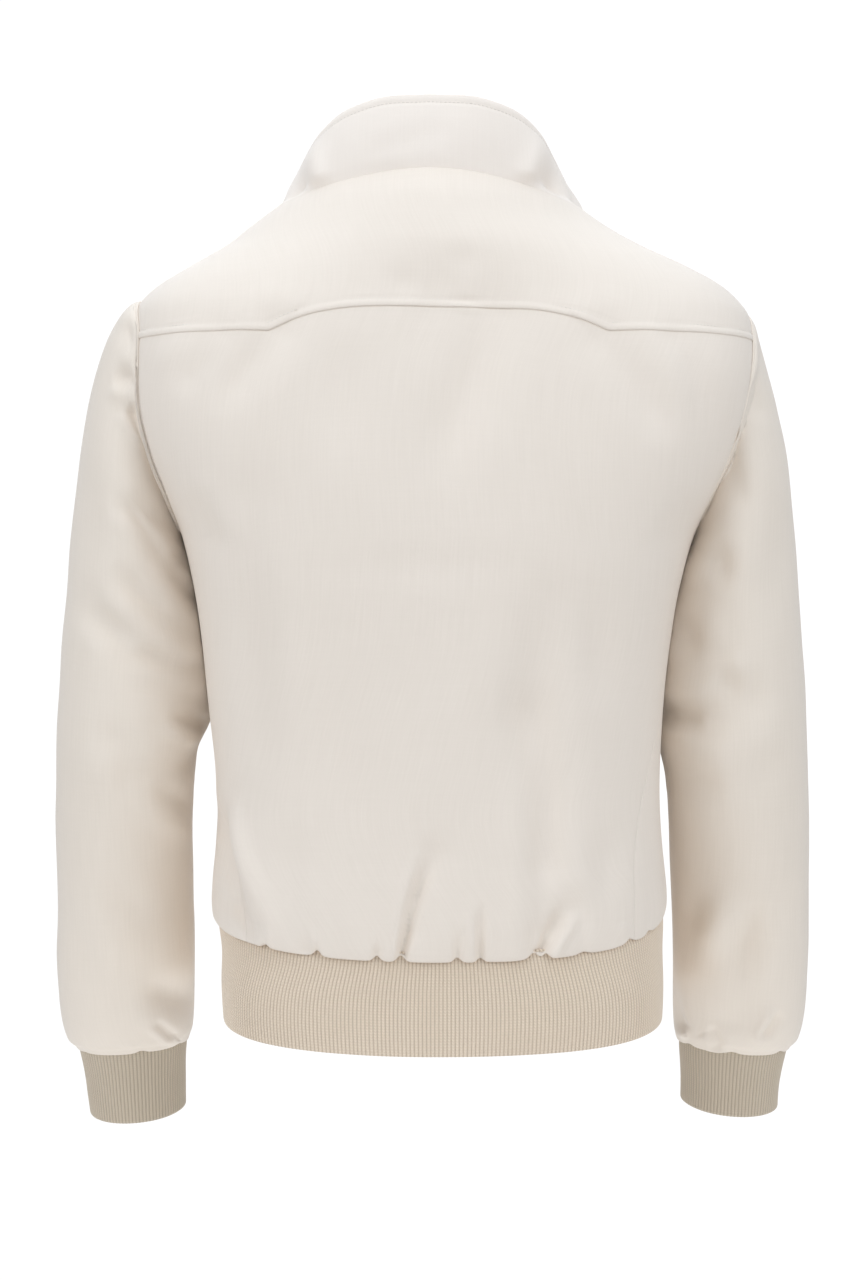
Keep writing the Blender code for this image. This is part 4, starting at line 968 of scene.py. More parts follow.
def quads(rows, columns, ring, start=0):
    """Vertex numbers of a grid's faces, with the grid columns of their corners."""
    spans = columns if ring else columns - 1
    r, c = np.meshgrid(np.arange(rows - 1), np.arange(spans), indexing="ij")
    round_face = ((0, 0), (0, 1), (1, 1), (1, 0))
    corners = np.stack([np.stack((r + up, c + on), -1) for up, on in round_face], -2)
    faces = corners[..., 0] * columns + corners[..., 1] % columns
    return faces.reshape(-1, 4) + start, corners.reshape(-1, 4, 2)


def rim(rows, columns, ring):
    """Grid places round the border of an open grid or along both ends of a ring."""
    spans = columns + 1 if ring else columns
    low = [(0, c) for c in range(spans)]
    high = [(rows - 1, c) for c in range(spans)][::-1]
    if ring:
        return [low, high]
    right = [(r, columns - 1) for r in range(rows)]
    left = [(r, 0) for r in range(rows)][::-1]
    return [low[:-1] + right[:-1] + high[:-1] + left]


def shell_mesh(name, outer, inner, ring, flip, grain):
    """A closed thin shell: a fine outside and an inside with every second row and column."""
    rows, columns = outer.shape[:2]
    inside = inner[::2, ::2]
    low_rows, low_columns = inside.shape[:2]
    start = rows * columns
    verts = np.concatenate((outer.reshape(-1, 3), inside.reshape(-1, 3)))
    front, front_at = quads(rows, columns, ring)
    back, back_at = quads(low_rows, low_columns, ring, start)
    faces = [list(face) for face in front] + [list(face[::-1]) for face in back]
    places = [list(map(tuple, at)) for at in front_at]
    places += [[(2 * r, 2 * c) for r, c in at[::-1]] for at in back_at]

    def fine(spot):
        return spot[0] * columns + spot[1] % columns

    def coarse(spot):
        return start + (spot[0] // 2) * low_columns + (spot[1] // 2) % low_columns

    for line in rim(rows, columns, ring):
        for i in range(0, len(line) - 2, 2):
            a, b, c = line[i:i + 3]
            faces += [
                [fine(b), fine(a), coarse(a)],
                [fine(b), coarse(a), coarse(c)],
                [fine(b), coarse(c), fine(c)],
            ]
            places += [[b, a, a], [b, a, c], [b, c, c]]
    if flip:
        faces = [face[::-1] for face in faces]
        places = [place[::-1] for place in places]
    mesh = bpy.data.meshes.new(name)
    mesh.from_pydata(verts.tolist(), [], faces)
    mesh.polygons.foreach_set("use_smooth", np.ones(len(faces), bool))
    flat = np.array([spot for place in places for spot in place])
    layer = mesh.uv_layers.new(name="grain")
    layer.uv.foreach_set("vector", grain[flat[:, 0], flat[:, 1]].astype(np.float32).ravel())
    mesh.update()
    return mesh


def add_object(name, data):
    """A new object in the scene."""
    thing = bpy.data.objects.new(name, data)
    bpy.context.scene.collection.objects.link(thing)
    return thing


def add_piece(name, mesh, material, body="garment"):
    """A mesh as a piece of the jacket."""
    piece = add_object(name, mesh)
    mesh.materials.append(material)
    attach(piece, body)
    return piece


def cloth_piece(name, outer, thick, ring, flip, material, inner=None, guide=0, grain=None):
    """A cloth shell that stands for the CAD node of its name."""
    if inner is None:
        turn = -1 if flip else 1
        normals = turn * grid_normals(outer, ring, turn * guide)
        inner = outer - normals * np.asarray(thick)[..., None]
    if grain is None:
        grain = grain_coordinates(outer, ring)
    mesh = shell_mesh(name + "_cloth", outer, inner, ring, flip, grain)
    piece = add_piece(name + "_cloth", mesh, material)
    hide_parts(name)
    return piece


# Sleeves

def sleeve_section(side, row, turn):
    """A plain oval section of the sleeve, before it is fitted to the armhole."""
    table = SLEEVE[side]
    hug = smooth((row - 0.2) / 1.6) * smooth((8.6 - row) / 2.4)
    outer = np.stack((table("outer_x", row), table("outer_z", row)), -1)
    inner = np.stack((table("inner_x", row) - HUG_IN * hug, table("inner_z", row)), -1)
    tilt = np.radians(table("tilt", row))
    middle, half = (outer + inner) / 2, (outer - inner) / 2
    depth = table("half_depth", row) * np.sin(turn)
    x = middle[..., 0] + half[..., 0] * np.cos(turn)
    y = table("y", row) + depth * np.cos(tilt) - HUG_FORWARD * hug * ((1 - np.cos(turn)) / 2) ** 2
    z = middle[..., 1] + half[..., 1] * np.cos(turn) - depth * np.sin(tilt)
    return np.stack((x, y, z), -1)


def body_reach(side, y, z):
    """How far the body form reaches out to one side at a depth and a height."""
    sign = SIGN[side]
    low, high = 0 * y, math.pi + 0 * y
    for _ in range(BISECTIONS):
        middle = (low + high) / 2
        behind = body_point(sign * middle, z)[..., 1] > y
        low, high = np.where(behind, middle, low), np.where(behind, high, middle)
    return sign * body_point(sign * low, z)[..., 0]


def sleeve_fold_depth(side, row, turn):
    """How far the largest folds move the sleeve outwards."""
    place = np.stack((turn * SLEEVE_RADIUS, row * SLEEVE_ROW_HEIGHT), -1)
    depth = np.zeros(place.shape[:-1])
    for fold_side, angle0, row0, angle1, row1, fold, spread in SLEEVE_FOLDS:
        if fold_side == side:
            start = np.array((math.radians(angle0) * SLEEVE_RADIUS, row0 * SLEEVE_ROW_HEIGHT))
            end = np.array((math.radians(angle1) * SLEEVE_RADIUS, row1 * SLEEVE_ROW_HEIGHT))
            depth += fold * bell(distance_to_line(place, start, end) / spread)
    return depth


def sleeve_form(side, rows, turns, surface=None):
    """The sleeve's rings on the wearer's left, from the armhole down: the part's own form."""
    turns = turns[None, :] % (2 * math.pi)
    rows = rows[:, None]
    sign = SIGN[side]
    angle, height = armhole_place(side, turns)
    plain = body_point(sign * angle, height) * (sign, 1, 1)
    fit = np.exp(-((rows / FIT_ROWS) ** 2)) * np.clip(1 - rows / FIT_END, 0, 1)
    oval = sleeve_section(side, rows, turns)
    points = oval + fit[..., None] * (plain - sleeve_section(side, 0 * rows, turns))
    out = np.stack((np.cos(turns) + 0 * rows, np.sin(turns) + 0 * rows, 0 * (rows + turns)), -1)
    points = points + sleeve_fold_depth(side, rows + 0 * turns, turns + 0 * rows)[..., None] * out
    if surface is not None:
        sewn = surface.points(sign * angle, height, "seam")[0] * (sign, 1, 1)
        points = points + np.exp(-((rows / 0.25) ** 2))[..., None] * (sewn - plain)
    return clear_of_body(side, points, rows)


def clear_of_body(side, points, rows):
    """Points moved out to stand clear of the body form."""
    clear = SLEEVE_CLEAR * (1 - np.exp(-((rows / CLEAR_ROWS) ** 2)))
    reach = body_reach(side, points[..., 1], points[..., 2]) + clear
    points = points.copy()
    points[..., 0] = np.maximum(points[..., 0], np.where(rows > 0, reach, points[..., 0]))
    return points


def sleeve_surface(side, surface):
    """The finished outside of a sleeve."""
    rows = SLEEVE_END * graded(SLEEVE_STATIONS, 0.25, 0.2, 14)
    turns = math.pi + 2 * math.pi * np.arange(SLEEVE_TURNS) / SLEEVE_TURNS
    sign = SIGN[side]
    base = sleeve_form(side, rows, turns, surface)
    normal = -grid_normals(base, True)
    down = unit(np.gradient(base, axis=0))
    from_top = travelled(base)
    to_cuff = from_top[-1] - from_top
    place = base[..., [0, 2]] * (sign, 1)
    behind = smooth((normal[..., 1] + 0.10) / 0.45)
    before = smooth((0.10 - normal[..., 1]) / 0.45)
    out = crease_relief(place, SLEEVE_BACK_CREASES[side]) * behind
    out += crease_relief(place, SLEEVE_FRONT_CREASES[side]) * before
    world = base * (sign, 1, 1)
    out += 0.0012 * wander(world * (1, 1, 0.7), 0.070, 5) + 0.0005 * wander(world * (1, 1, 0.8), 0.028, 6)
    out *= smooth(from_top / 0.012)
    degrees = np.degrees(turns) % 360
    degrees = np.where(degrees > 270, degrees - 360, degrees)
    puff = CAP(side, degrees)[None]
    out += puff * (1 - np.exp(-from_top / 0.0035)) * bell(from_top / np.where(puff > 0, 0.014, 0.013))
    pull, lift = Puckers(CUFF_PUCKERS[side], 360)(np.degrees(turns) % 360)
    swell, drop = roll(to_cuff, pull, lift, 0.0014, 0.0014)
    ripple = gathers(turns * 0.037) * bell(to_cuff / 0.022) * (1 - np.exp(-to_cuff / 0.003))
    out += swell + 0.0005 * ripple
    underarm = np.abs(degrees - 180) * math.pi / 180 * 0.045
    out -= 0.0006 * bell(underarm / 0.0013)
    points = base + normal * out[..., None] + down * drop[..., None]
    points = clear_of_body(side, points, rows[:, None])
    return points * (sign, 1, 1)


def knit_profile(phase, depth):
    """Height of a wale: a round ridge between narrow grooves."""
    groove = np.minimum(phase, 1 - phase)
    return -depth * bell(groove / 0.17) + 0.12 * depth * np.sin(math.pi * phase)


def lower_fold(distance, radius):
    """How far a rib's face has turned inwards at a distance from its lower edge."""
    share = np.clip(1 - distance / radius, 0, 1)
    return radius * (1 - np.sqrt(np.maximum(1 - share ** 2, 0)))


def rib_faces(base, normal, level, fold, wale):
    """A rib's outer and inner face. Its wales flatten where the lower edge folds in."""
    outer = base + normal * (level - fold + wale * (1 - 0.6 * smooth(fold / 0.0012)))[..., None]
    return outer, base + normal * (level - RIB_THICK + fold - 0.5 * wale)[..., None]


def cuff_surface(side):
    """The outside of a cuff and its inner face."""
    sign = SIGN[side]
    shares = graded(RIB_ROWS, 0.45, 0.18, 4)
    phase = np.tile(RIB_PHASES, CUFF_WALES)
    turns = math.pi + 2 * math.pi * (np.repeat(np.arange(CUFF_WALES), len(RIB_PHASES)) + phase) / CUFF_WALES
    rows = CUFF_START + (CUFF_END - CUFF_START) * shares
    base = sleeve_form(side, rows, turns)
    normal = -grid_normals(base, True)
    from_top = travelled(base)
    to_edge = from_top[-1] - from_top
    fold = lower_fold(to_edge, RIB_THICK / 2)
    waist = 0.0008 * np.sin(math.pi * np.clip(from_top / from_top[-1], 0, 1))
    sway = 0.0007 * wander(base * (sign, 1, 1), 0.030, 8)
    tuck = -0.0016 * np.exp(-from_top / 0.003)
    level = sway - waist + tuck
    wale = knit_profile(phase, RIB_DEPTH * 0.75)[None]
    outer, inner = rib_faces(base, normal, level, fold, wale)
    across = turns * CUFF_WALES * CUFF_PITCH / (2 * math.pi)
    across = np.append(across, across[0] + CUFF_WALES * CUFF_PITCH)
    return outer * (sign, 1, 1), inner * (sign, 1, 1), grain_grid(across, -from_top.mean(1))


def grain_grid(across, along):
    """Cloth coordinates of a grid whose columns are straight wales."""
    return np.stack(np.broadcast_arrays(across[None], along[:, None]), -1)


def rib_surface():
    """The outside of the hem rib and its inner face."""
    start = float(front_edge_angle(HEM - HEM_DIP_FRONT))
    length = 2 * float(hem_arc(np.array(start)))
    wales = int(round(length / RIB_PITCH))
    phase = np.append(np.tile(RIB_PHASES, wales), 0.0)
    number = np.append(np.repeat(np.arange(wales), len(RIB_PHASES)), wales)
    arc = length * ((number + phase) / wales - 0.5)
    fine = np.linspace(-math.pi, math.pi, 2881)
    angle = -np.interp(arc, hem_arc(fine), fine)[None]
    angle = np.clip(angle, -start, start)
    back = np.clip(np.cos(angle), 0, 1)
    height = RIB_HEIGHT + RIB_HEIGHT_BACK * back ** 2 + hem_raise(angle)
    top = 0.0035
    drop = -top + (height + top) * graded(RIB_ROWS, 0.6, 0.16, 4)[:, None]
    z = hem_height(angle) - drop
    angle = angle + 0 * drop
    base, normal = body_point(angle, z), body_normal(angle, z)
    fold = lower_fold(height - drop, RIB_THICK / 2)
    sway = 0.0008 * wander(base * (1, 1, 0.5), 0.045, 7)
    waist = 0.0010 * np.sin(math.pi * np.clip(drop / height, 0, 1))
    level = sway + waist - 0.0016 * smooth((0.004 - drop) / 0.004)
    side = 0.55 + 0.45 * smooth(1.6 * np.abs(np.cos(angle)))
    wale = knit_profile(phase, RIB_DEPTH)[None] * side
    outer, inner = rib_faces(base, normal, level, fold, wale)
    return outer, inner, grain_grid((number + phase) * RIB_PITCH, -drop[:, 0])


# Collar

def collar_surface(surface):
    """The outside of the collar."""
    angle = shoulder_neck_angle()
    end = float(front_edge_angle(NECK_FRONT))
    front = angle + (end - angle) * graded(NECK_FRONT_STEPS, 1, 0.35, 5)
    back = np.linspace(angle, -angle, NECK_BACK_STEPS + 1)
    angles = np.concatenate((front[::-1][:-1], back, -front[1:]))
    sewn, normal = surface.points(angles, neck_height(angles), "seam")
    seam = sewn - normal * 0.0010
    degrees = np.abs(np.degrees(angles))
    middle = COLLAR_MIDDLE * np.clip((180 - degrees) / 90, 0, 1)
    out = np.sign(angles) * COLLAR_EDGE("out", degrees)
    edge = np.stack((middle + out, COLLAR_EDGE("y", degrees), COLLAR_EDGE("z", degrees)), -1)
    away = edge - (COLLAR_MIDDLE, COLLAR_CENTRE_Y, 0)
    away = unit(away * (1, 1, 0))
    shares = graded(COLLAR_STATIONS, 0.5, 0.25, 6)
    shares = -0.045 + 1.045 * shares
    share = shares[:, None, None]
    base = seam + (edge - seam) * share + away * (COLLAR_BELLY * np.sin(math.pi * np.clip(share, 0, 1)))
    height = np.linalg.norm(edge - seam, axis=-1)
    from_edge = (1 - shares[:, None]) * height
    from_seam = shares[:, None] * height
    corner = np.zeros_like(from_seam)
    for low, high, size, width in COLLAR_CORNERS:
        place = low + (high - low) * shares[:, None]
        corner += size * bell((np.degrees(angles)[None] - place) / width)
    soft = smooth(from_seam / 0.010)
    relief = corner * smooth(from_seam / 0.012) * smooth(1.05 - shares[:, None])
    relief = relief + 0.0007 * wander(base, 0.045, 9) * soft
    diagonal = distance_to_line(base[..., [0, 2]], np.array((0.046, 0.014)), np.array((0.006, 0.026)))
    relief = relief - 0.0010 * bell(diagonal / 0.010) * (base[..., 1] > 0)
    relief = relief - 0.0005 * bell((from_edge - TOPSTITCH) / 0.0010)
    relief = relief + 0.0002 * bell((from_edge - TOPSTITCH / 2) / 0.0020)
    normal = grid_normals(base, False)
    return base + normal * relief[..., None], from_edge


def ends_distance(points):
    """Distance along each row from the nearer end of an open grid."""
    along = travelled(points, 1)
    return np.minimum(along, along[:, -1:] - along)


# Stitches and joined small parts

def line_frames(line, normals, spots):
    """Points, tangents and normals at distances along a line."""
    at = travelled(line)
    ahead = 0.0004

    def read(values, where):
        return np.stack([np.interp(where, at, values[:, i]) for i in range(3)], -1)

    tangent = unit(read(line, spots + ahead) - read(line, spots - ahead))
    normal = read(normals, spots)
    normal -= (normal * tangent).sum(-1)[:, None] * tangent
    return read(line, spots), tangent, unit(normal)


def array_mesh(name, template, faces, points, axes):
    """Copies of one small shape, joined in one mesh. axes are its x, y and z at each point."""
    basis = np.stack(axes, 1)
    verts = points[:, None] + np.einsum("vi,nij->nvj", template, basis)
    starts = np.arange(len(points)) * len(template)
    all_faces = [[start + i for i in face] for start in starts for face in faces]
    mesh = bpy.data.meshes.new(name)
    mesh.from_pydata(verts.reshape(-1, 3).tolist(), [], all_faces)
    mesh.polygons.foreach_set("use_smooth", np.ones(len(all_faces), bool))
    mesh.update()
    return mesh


def tube_faces(rings, sides):
    """Faces of a closed tube of rings, each with that many corners."""
    last = (rings - 1) * sides
    faces = [tuple(range(sides)), tuple(range(last, last + sides))[::-1]]
    for low in range(0, last, sides):
        for i in range(sides):
            after = (i + 1) % sides
            faces.append((low + after, low + i, low + sides + i, low + sides + after))
    return faces


def stitch_template():
    """A stitch: a short thread that dips in at both ends."""
    sides = 6
    rings = ((-0.5, 0.35, -1.2), (-0.38, 0.85, -0.3), (0, 1.0, 0.25), (0.38, 0.85, -0.3), (0.5, 0.35, -1.2))
    verts = []
    for along, size, lift in rings:
        for i in range(sides):
            turn = 2 * math.pi * i / sides
            verts.append((
                along * STITCH_LENGTH,
                1.15 * STITCH_RADIUS * size * math.cos(turn),
                STITCH_RADIUS * (size * math.sin(turn) + lift),
            ))
    return np.array(verts), tube_faces(len(rings), sides)


def stitch_lines(name, lines, material):
    """Topstitching along several lines, each given as points and normals."""
    points, tangents, normals = [], [], []
    for line, normal in lines:
        length = travelled(line)[-1]
        count = int(length / STITCH_PITCH)
        spots = (np.arange(count) + 0.5) * length / count
        for group, value in zip((points, tangents, normals), line_frames(line, normal, spots)):
            group.append(value)
    points, tangents, normals = map(np.concatenate, (points, tangents, normals))
    template, faces = stitch_template()
    across = np.cross(normals, tangents)
    mesh = array_mesh(name, template, faces, points, (tangents, across, normals))
    piece = add_piece(name, mesh, material)
    return piece


# Materials

def set_inputs(node, values):
    """Set a node's own sockets, by name."""
    for name, value in values.items():
        node.inputs[name].default_value = value


class Nodes:
    """A short way to write a shader's nodes."""

    def __init__(self, name):
        self.material = bpy.data.materials.new(name)
        self.material.use_nodes = True
        self.tree = self.material.node_tree
        self.shader = self.tree.nodes["Principled BSDF"]

    def add(self, kind, **settings):
        node = self.tree.nodes.new(kind)
        for key, value in settings.items():
            setattr(node, key, value)
        return node

    def link(self, output, target):
        self.tree.links.new(output, target)

    def value(self, operation, *given):
        """A Math node's output. Numbers are set on its sockets."""
        node = self.add("ShaderNodeMath", operation=operation)
        for socket, value in zip(node.inputs, given):
            if isinstance(value, (int, float)):
                socket.default_value = value
            else:
                self.link(value, socket)
        return node.outputs[0]

    def grain(self):
        """Distances across and along the cloth, in metres."""
        uv = self.add("ShaderNodeUVMap", uv_map="grain")
        split = self.add("ShaderNodeSeparateXYZ")
        self.link(uv.outputs[0], split.inputs[0])
        return split.outputs[0], split.outputs[1]

    def noise(self, across, along, scale_across, scale_along, detail):
        """Noise stretched across and along the cloth; scales are per metre."""
        join = self.add("ShaderNodeCombineXYZ")
        self.link(self.value("MULTIPLY", across, scale_across), join.inputs[0])
        self.link(self.value("MULTIPLY", along, scale_along), join.inputs[1])
        node = self.add("ShaderNodeTexNoise")
        set_inputs(node, {"Scale": 1.0, "Detail": detail})
        self.link(join.outputs[0], node.inputs["Vector"])
        return node.outputs[0]

    def wave(self, place, pitch):
        """A sine along one coordinate, once per pitch."""
        return self.value("SINE", self.value("MULTIPLY", place, 2 * math.pi / pitch))

    def blend(self, factor, low, high):
        """A colour between two."""
        node = self.add("ShaderNodeMix", data_type="RGBA")
        self.link(factor, node.inputs[0])
        for socket, given in ((node.inputs[6], low), (node.inputs[7], high)):
            if isinstance(given, tuple):
                socket.default_value = (*given, 1)
            else:
                self.link(given, socket)
        return node.outputs[2]

    def bump(self, height, strength, distance, before=None):
        """A bump node's normal."""
        node = self.add("ShaderNodeBump")
        set_inputs(node, {"Strength": strength, "Distance": distance})
        self.link(height, node.inputs["Height"])
        if before is not None:
            self.link(before, node.inputs["Normal"])
        return node.outputs[0]

    def finish(self, colour, normal, settings):
        """The material, with colour and normal linked and the shader's own sockets set."""
        self.link(colour, self.shader.inputs["Base Color"])
        self.link(normal, self.shader.inputs["Normal"])
        set_inputs(self.shader, settings)
        return self.material


def cloth_material(name, light, dark):
    """Fine twill with faint slubs."""
    nodes = Nodes(name)
    across, along = nodes.grain()
    twill = nodes.wave(nodes.value("MULTIPLY_ADD", along, 0.7, across), 0.00075)
    weave = nodes.value("MULTIPLY_ADD", nodes.wave(along, 0.00052), 0.45, twill)
    slub = nodes.noise(across, along, 620, 22, 3.0)
    cross = nodes.noise(across, along, 22, 620, 2.0)
    patch = nodes.noise(across, along, 9, 7, 3.0)
    mixed = nodes.value("MULTIPLY_ADD", cross, 0.18, nodes.value("MULTIPLY", patch, 0.30))
    mixed = nodes.value("MULTIPLY_ADD", slub, 0.52, mixed)
    nodes.link(nodes.value("MULTIPLY_ADD", slub, 0.12, 0.66), nodes.shader.inputs["Roughness"])
    normal = nodes.bump(slub, 0.25, 0.0003, nodes.bump(weave, 0.22, 0.00012))
    settings = {"Specular IOR Level": 0.35, "Sheen Weight": 0.22, "Sheen Roughness": 0.45}
    return nodes.finish(nodes.blend(mixed, dark, light), normal, settings)


def rib_material(name, light, dark, pitch):
    """Knitted rib: columns of small V stitches on the wales, with painted shade darkening the grooves between
    them.
    """
    nodes = Nodes(name)
    across, along = nodes.grain()
    wale = nodes.value("PINGPONG", nodes.value("MULTIPLY", across, 1 / pitch), 0.5)
    course = nodes.value("MULTIPLY_ADD", along, 1 / COURSE_PITCH, nodes.value("MULTIPLY", wale, 1.1))
    loop = nodes.wave(course, 1)
    fuzz = nodes.noise(across, along, 1400, 1400, 3.0)
    patch = nodes.noise(across, along, 14, 10, 3.0)
    tone = nodes.value("MULTIPLY_ADD", fuzz, 0.5, nodes.value("MULTIPLY", patch, 0.4))
    tone = nodes.value("MULTIPLY_ADD", loop, 0.30, tone)
    # Painted shade: the colour falls to 0.8 of the dark tone in the narrow grooves between the wales.
    ridge = nodes.value("SMOOTH_MIN", nodes.value("MULTIPLY", wale, 4.0), 1.0, 0.3)
    groove = tuple(0.80 * value for value in dark)
    colour = nodes.blend(ridge, groove, nodes.blend(tone, dark, light))
    normal = nodes.bump(fuzz, 0.35, 0.0002, nodes.bump(loop, 0.55, 0.00022))
    settings = {"Roughness": 0.9, "Specular IOR Level": 0.2, "Sheen Weight": 0.35, "Sheen Roughness": 0.5}
    return nodes.finish(colour, normal, settings)


def thread_material(name, light, dark):
    """Twisted sewing thread."""
    nodes = Nodes(name)
    place = nodes.add("ShaderNodeTexCoord").outputs["Object"]
    wave = nodes.add("ShaderNodeTexWave", wave_type="BANDS", bands_direction="DIAGONAL")
    set_inputs(wave, {"Scale": 900.0, "Distortion": 1.0})
    nodes.link(place, wave.inputs["Vector"])
    twist = wave.outputs["Fac"]
    settings = {"Roughness": 0.55, "Sheen Weight": 0.2}
    return nodes.finish(nodes.blend(twist, dark, light), nodes.bump(twist, 0.4, 0.00008), settings)


def metal_material(name, light, dark, rough):
    """Nickel with fine brushing."""
    nodes = Nodes(name)
    place = nodes.add("ShaderNodeTexCoord").outputs["Object"]
    stretch = nodes.add("ShaderNodeMapping")
    set_inputs(stretch, {"Scale": (4200, 700, 700)})
    nodes.link(place, stretch.inputs["Vector"])
    noise = nodes.add("ShaderNodeTexNoise")
    set_inputs(noise, {"Scale": 1.0, "Detail": 2.0})
    nodes.link(stretch.outputs[0], noise.inputs["Vector"])
    brush = noise.outputs[0]
    nodes.link(nodes.value("MULTIPLY_ADD", brush, 0.16, rough), nodes.shader.inputs["Roughness"])
    return nodes.finish(nodes.blend(brush, dark, light), nodes.bump(brush, 0.12, 0.00005), {"Metallic": 1.0})

# Topstitching

def yoke_stitches(surface):
    """The line above the yoke seam."""
    left = armhole_line("left", armhole_marks("left")[1], 0, np.zeros(1))[0, 0]
    right = -armhole_line("right", armhole_marks("right")[1], 0, np.zeros(1))[0, 0]
    angle = np.linspace(left, right, 900)
    seam = body_point(angle, yoke_height(angle))
    step = np.gradient(seam, axis=0)
    flat = np.linalg.norm(step[:, :2], axis=-1)
    size = np.hypot(flat, step[:, 2])
    per_angle = flat / np.abs(np.gradient(angle))
    shifted = angle + TOPSTITCH * step[:, 2] / size / per_angle
    return surface.points(shifted, yoke_height(angle) + TOPSTITCH * flat / size, "yoke")


def front_stitches(surface, side):
    """The line beside the zip."""
    z = np.linspace(float(hem_height(math.pi)) + 0.010, NECK_FRONT - 0.003, 700)
    square = BODY("square", z)
    per_angle = BODY("half_width", z) * (1 + 3 * square) / (1 - square)
    sign = SIGN[side]
    return surface.points(sign * (front_edge_angle(z) - TOPSTITCH / per_angle), z, "panel")


def level_line(grid, values, axis):
    """Points and normals on a grid of both, where values that grow from one edge reach TOPSTITCH."""
    if axis == 1:
        grid, values = grid.swapaxes(0, 1), values.swapaxes(0, 1)
    line = []
    for column in range(grid.shape[1]):
        order = np.argsort(values[:, column])
        line.append([np.interp(TOPSTITCH, values[order, column], grid[order, column, i]) for i in range(6)])
    return np.split(np.array(line), 2, axis=1)


def collar_stitches(points, normals, from_edge):
    """The lines inside the collar's top edge and its two front ends."""
    from_ends = ends_distance(points)
    inner = from_ends.mean(0) > TOPSTITCH
    both = np.concatenate((points, normals), -1)
    lines = [level_line(both[:, inner], from_edge[:, inner], 0)]
    rows = (from_edge.mean(1) > TOPSTITCH) & (np.arange(len(points)) > 2)
    half = points.shape[1] // 2
    for part in (slice(0, half), slice(half, None)):
        lines.append(level_line(both[rows, part], from_ends[rows, part], 1))
    return lines


# Zip

def zip_line(z):
    """Points and outward normals of the line between the front edges."""
    def at(height):
        points = body_point(front_edge_angle(height), height)
        points[..., 0] = 0
        return points

    points = at(z)
    up = unit(at(z + 0.002) - at(z - 0.002))
    normals = np.cross(np.array((1.0, 0, 0)), up)
    return points, up, normals


def make_tape(side, material):
    """One woven tape, with the bead that carries the teeth."""
    low = float(hem_height(math.pi)) - RIB_HEIGHT
    z = np.linspace(low, NECK_FRONT, 221)
    points, _, normals = zip_line(z)
    sign = SIGN[side]
    off = np.array((0.0, 0.0002, 0.0005, 0.0009, 0.0013, 0.0030, 0.0050, 0.0075, 0.0100))
    bead = 0.00045 * bell((off - 0.0005) / 0.0004)
    depth = 0.0019 + 0.0009 * smooth((HEM - z) / 0.003 + 0.5)
    place = np.stack(np.broadcast_arrays(off[None], z[:, None], 0), -1)
    waves = 0.00012 * wander(place, 0.012, 11)
    front = CHAIN_HALF + 0.0003 + off
    sag = 1.9 * front ** 2
    outer = points[:, None] + normals[:, None] * (bead + waves - depth[:, None] - sag)[..., None]
    outer[..., 0] += sign * front
    return cloth_piece(f"zip_tape_{side}", outer, TAPE_THICK, False, side == "right", material)


def tooth_template():
    """A tooth on the wearer's left: x towards its tape, y up the zip, z out."""
    outline = (
        (2.75, -0.50), (1.40, -0.46), (0.50, -0.56), (-0.60, -0.56), (-1.05, -0.30),
        (-1.05, 0.30), (-0.60, 0.56), (0.50, 0.56), (1.40, 0.46), (2.75, 0.50),
    )
    levels = ((0.20, 0.80), (-0.10, 1.0), (-2.10, 1.0), (-2.40, 0.80))
    verts = [(0.85 + (x - 0.85) * (0.5 + size / 2), y * size, z) for z, size in levels for x, y in outline]
    return np.array(verts) / 1000, tube_faces(len(levels), len(outline))


def make_teeth(material):
    """Both rows of teeth."""
    low = float(hem_height(math.pi)) - RIB_HEIGHT + BOX_HEIGHT + TEETH_GAP
    points, _, normals = zip_line(np.linspace(low, TEETH_TOP, 2000))
    length = travelled(points)[-1]
    count = int(length / TOOTH_PITCH)
    template, faces = tooth_template()
    rows = bmesh.new()
    for sign, shift in ((1, 0.25), (-1, 0.75)):
        spots = (np.arange(count) + shift) * length / count
        at, tangent, normal = line_frames(points, normals, spots)
        across = np.broadcast_to(np.array((1.0 * sign, 0, 0)), at.shape)
        turned = [face[::sign] for face in faces]
        row = array_mesh("teeth", template, turned, at, (across, tangent, normal))
        rows.from_mesh(row)
        bpy.data.meshes.remove(row)
    joined = bpy.data.meshes.new("zip_teeth")
    rows.to_mesh(joined)
    rows.free()
    joined.polygons.foreach_set("use_smooth", np.zeros(len(joined.polygons), bool))
    piece = add_piece("zip_teeth", joined, material)
    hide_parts("zip_chain")
    return piece


def prism(mesh, outline, axis, low, high, bevel):
    """Add a bevelled prism to a bmesh: an outline in millimetres extruded along one axis."""
    part = bmesh.new()
    rings = []
    for level in (low, high):
        corners = [list(point) for point in outline]
        for corner in corners:
            corner.insert(axis, level)
        rings.append([part.verts.new([value / 1000 for value in corner]) for corner in corners])
    part.faces.new(rings[0])
    part.faces.new(rings[1][::-1])
    bmesh.ops.bridge_loops(part, edges=list(part.edges))
    bmesh.ops.recalc_face_normals(part, faces=part.faces)
    sharp = [edge for edge in part.edges if edge.calc_face_angle(0) > 0.5]
    bmesh.ops.bevel(part, geom=sharp, offset=bevel / 1000, segments=2, affect="EDGES", profile=0.5)
    loose = bpy.data.meshes.new("part")
    part.to_mesh(loose)
    part.free()
    mesh.from_mesh(loose)
    bpy.data.meshes.remove(loose)


def finish_hard(name, mesh, frame, material, node, body="garment"):
    """Place a hard part in its frame as a piece that stands for a node."""
    mesh.transform(frame)
    data = bpy.data.meshes.new(name)
    mesh.to_mesh(data)
    mesh.free()
    data.shade_smooth()
    data.set_sharp_from_angle(angle=math.radians(40))
    piece = add_piece(name, data, material, body)
    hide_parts(node)
    return piece


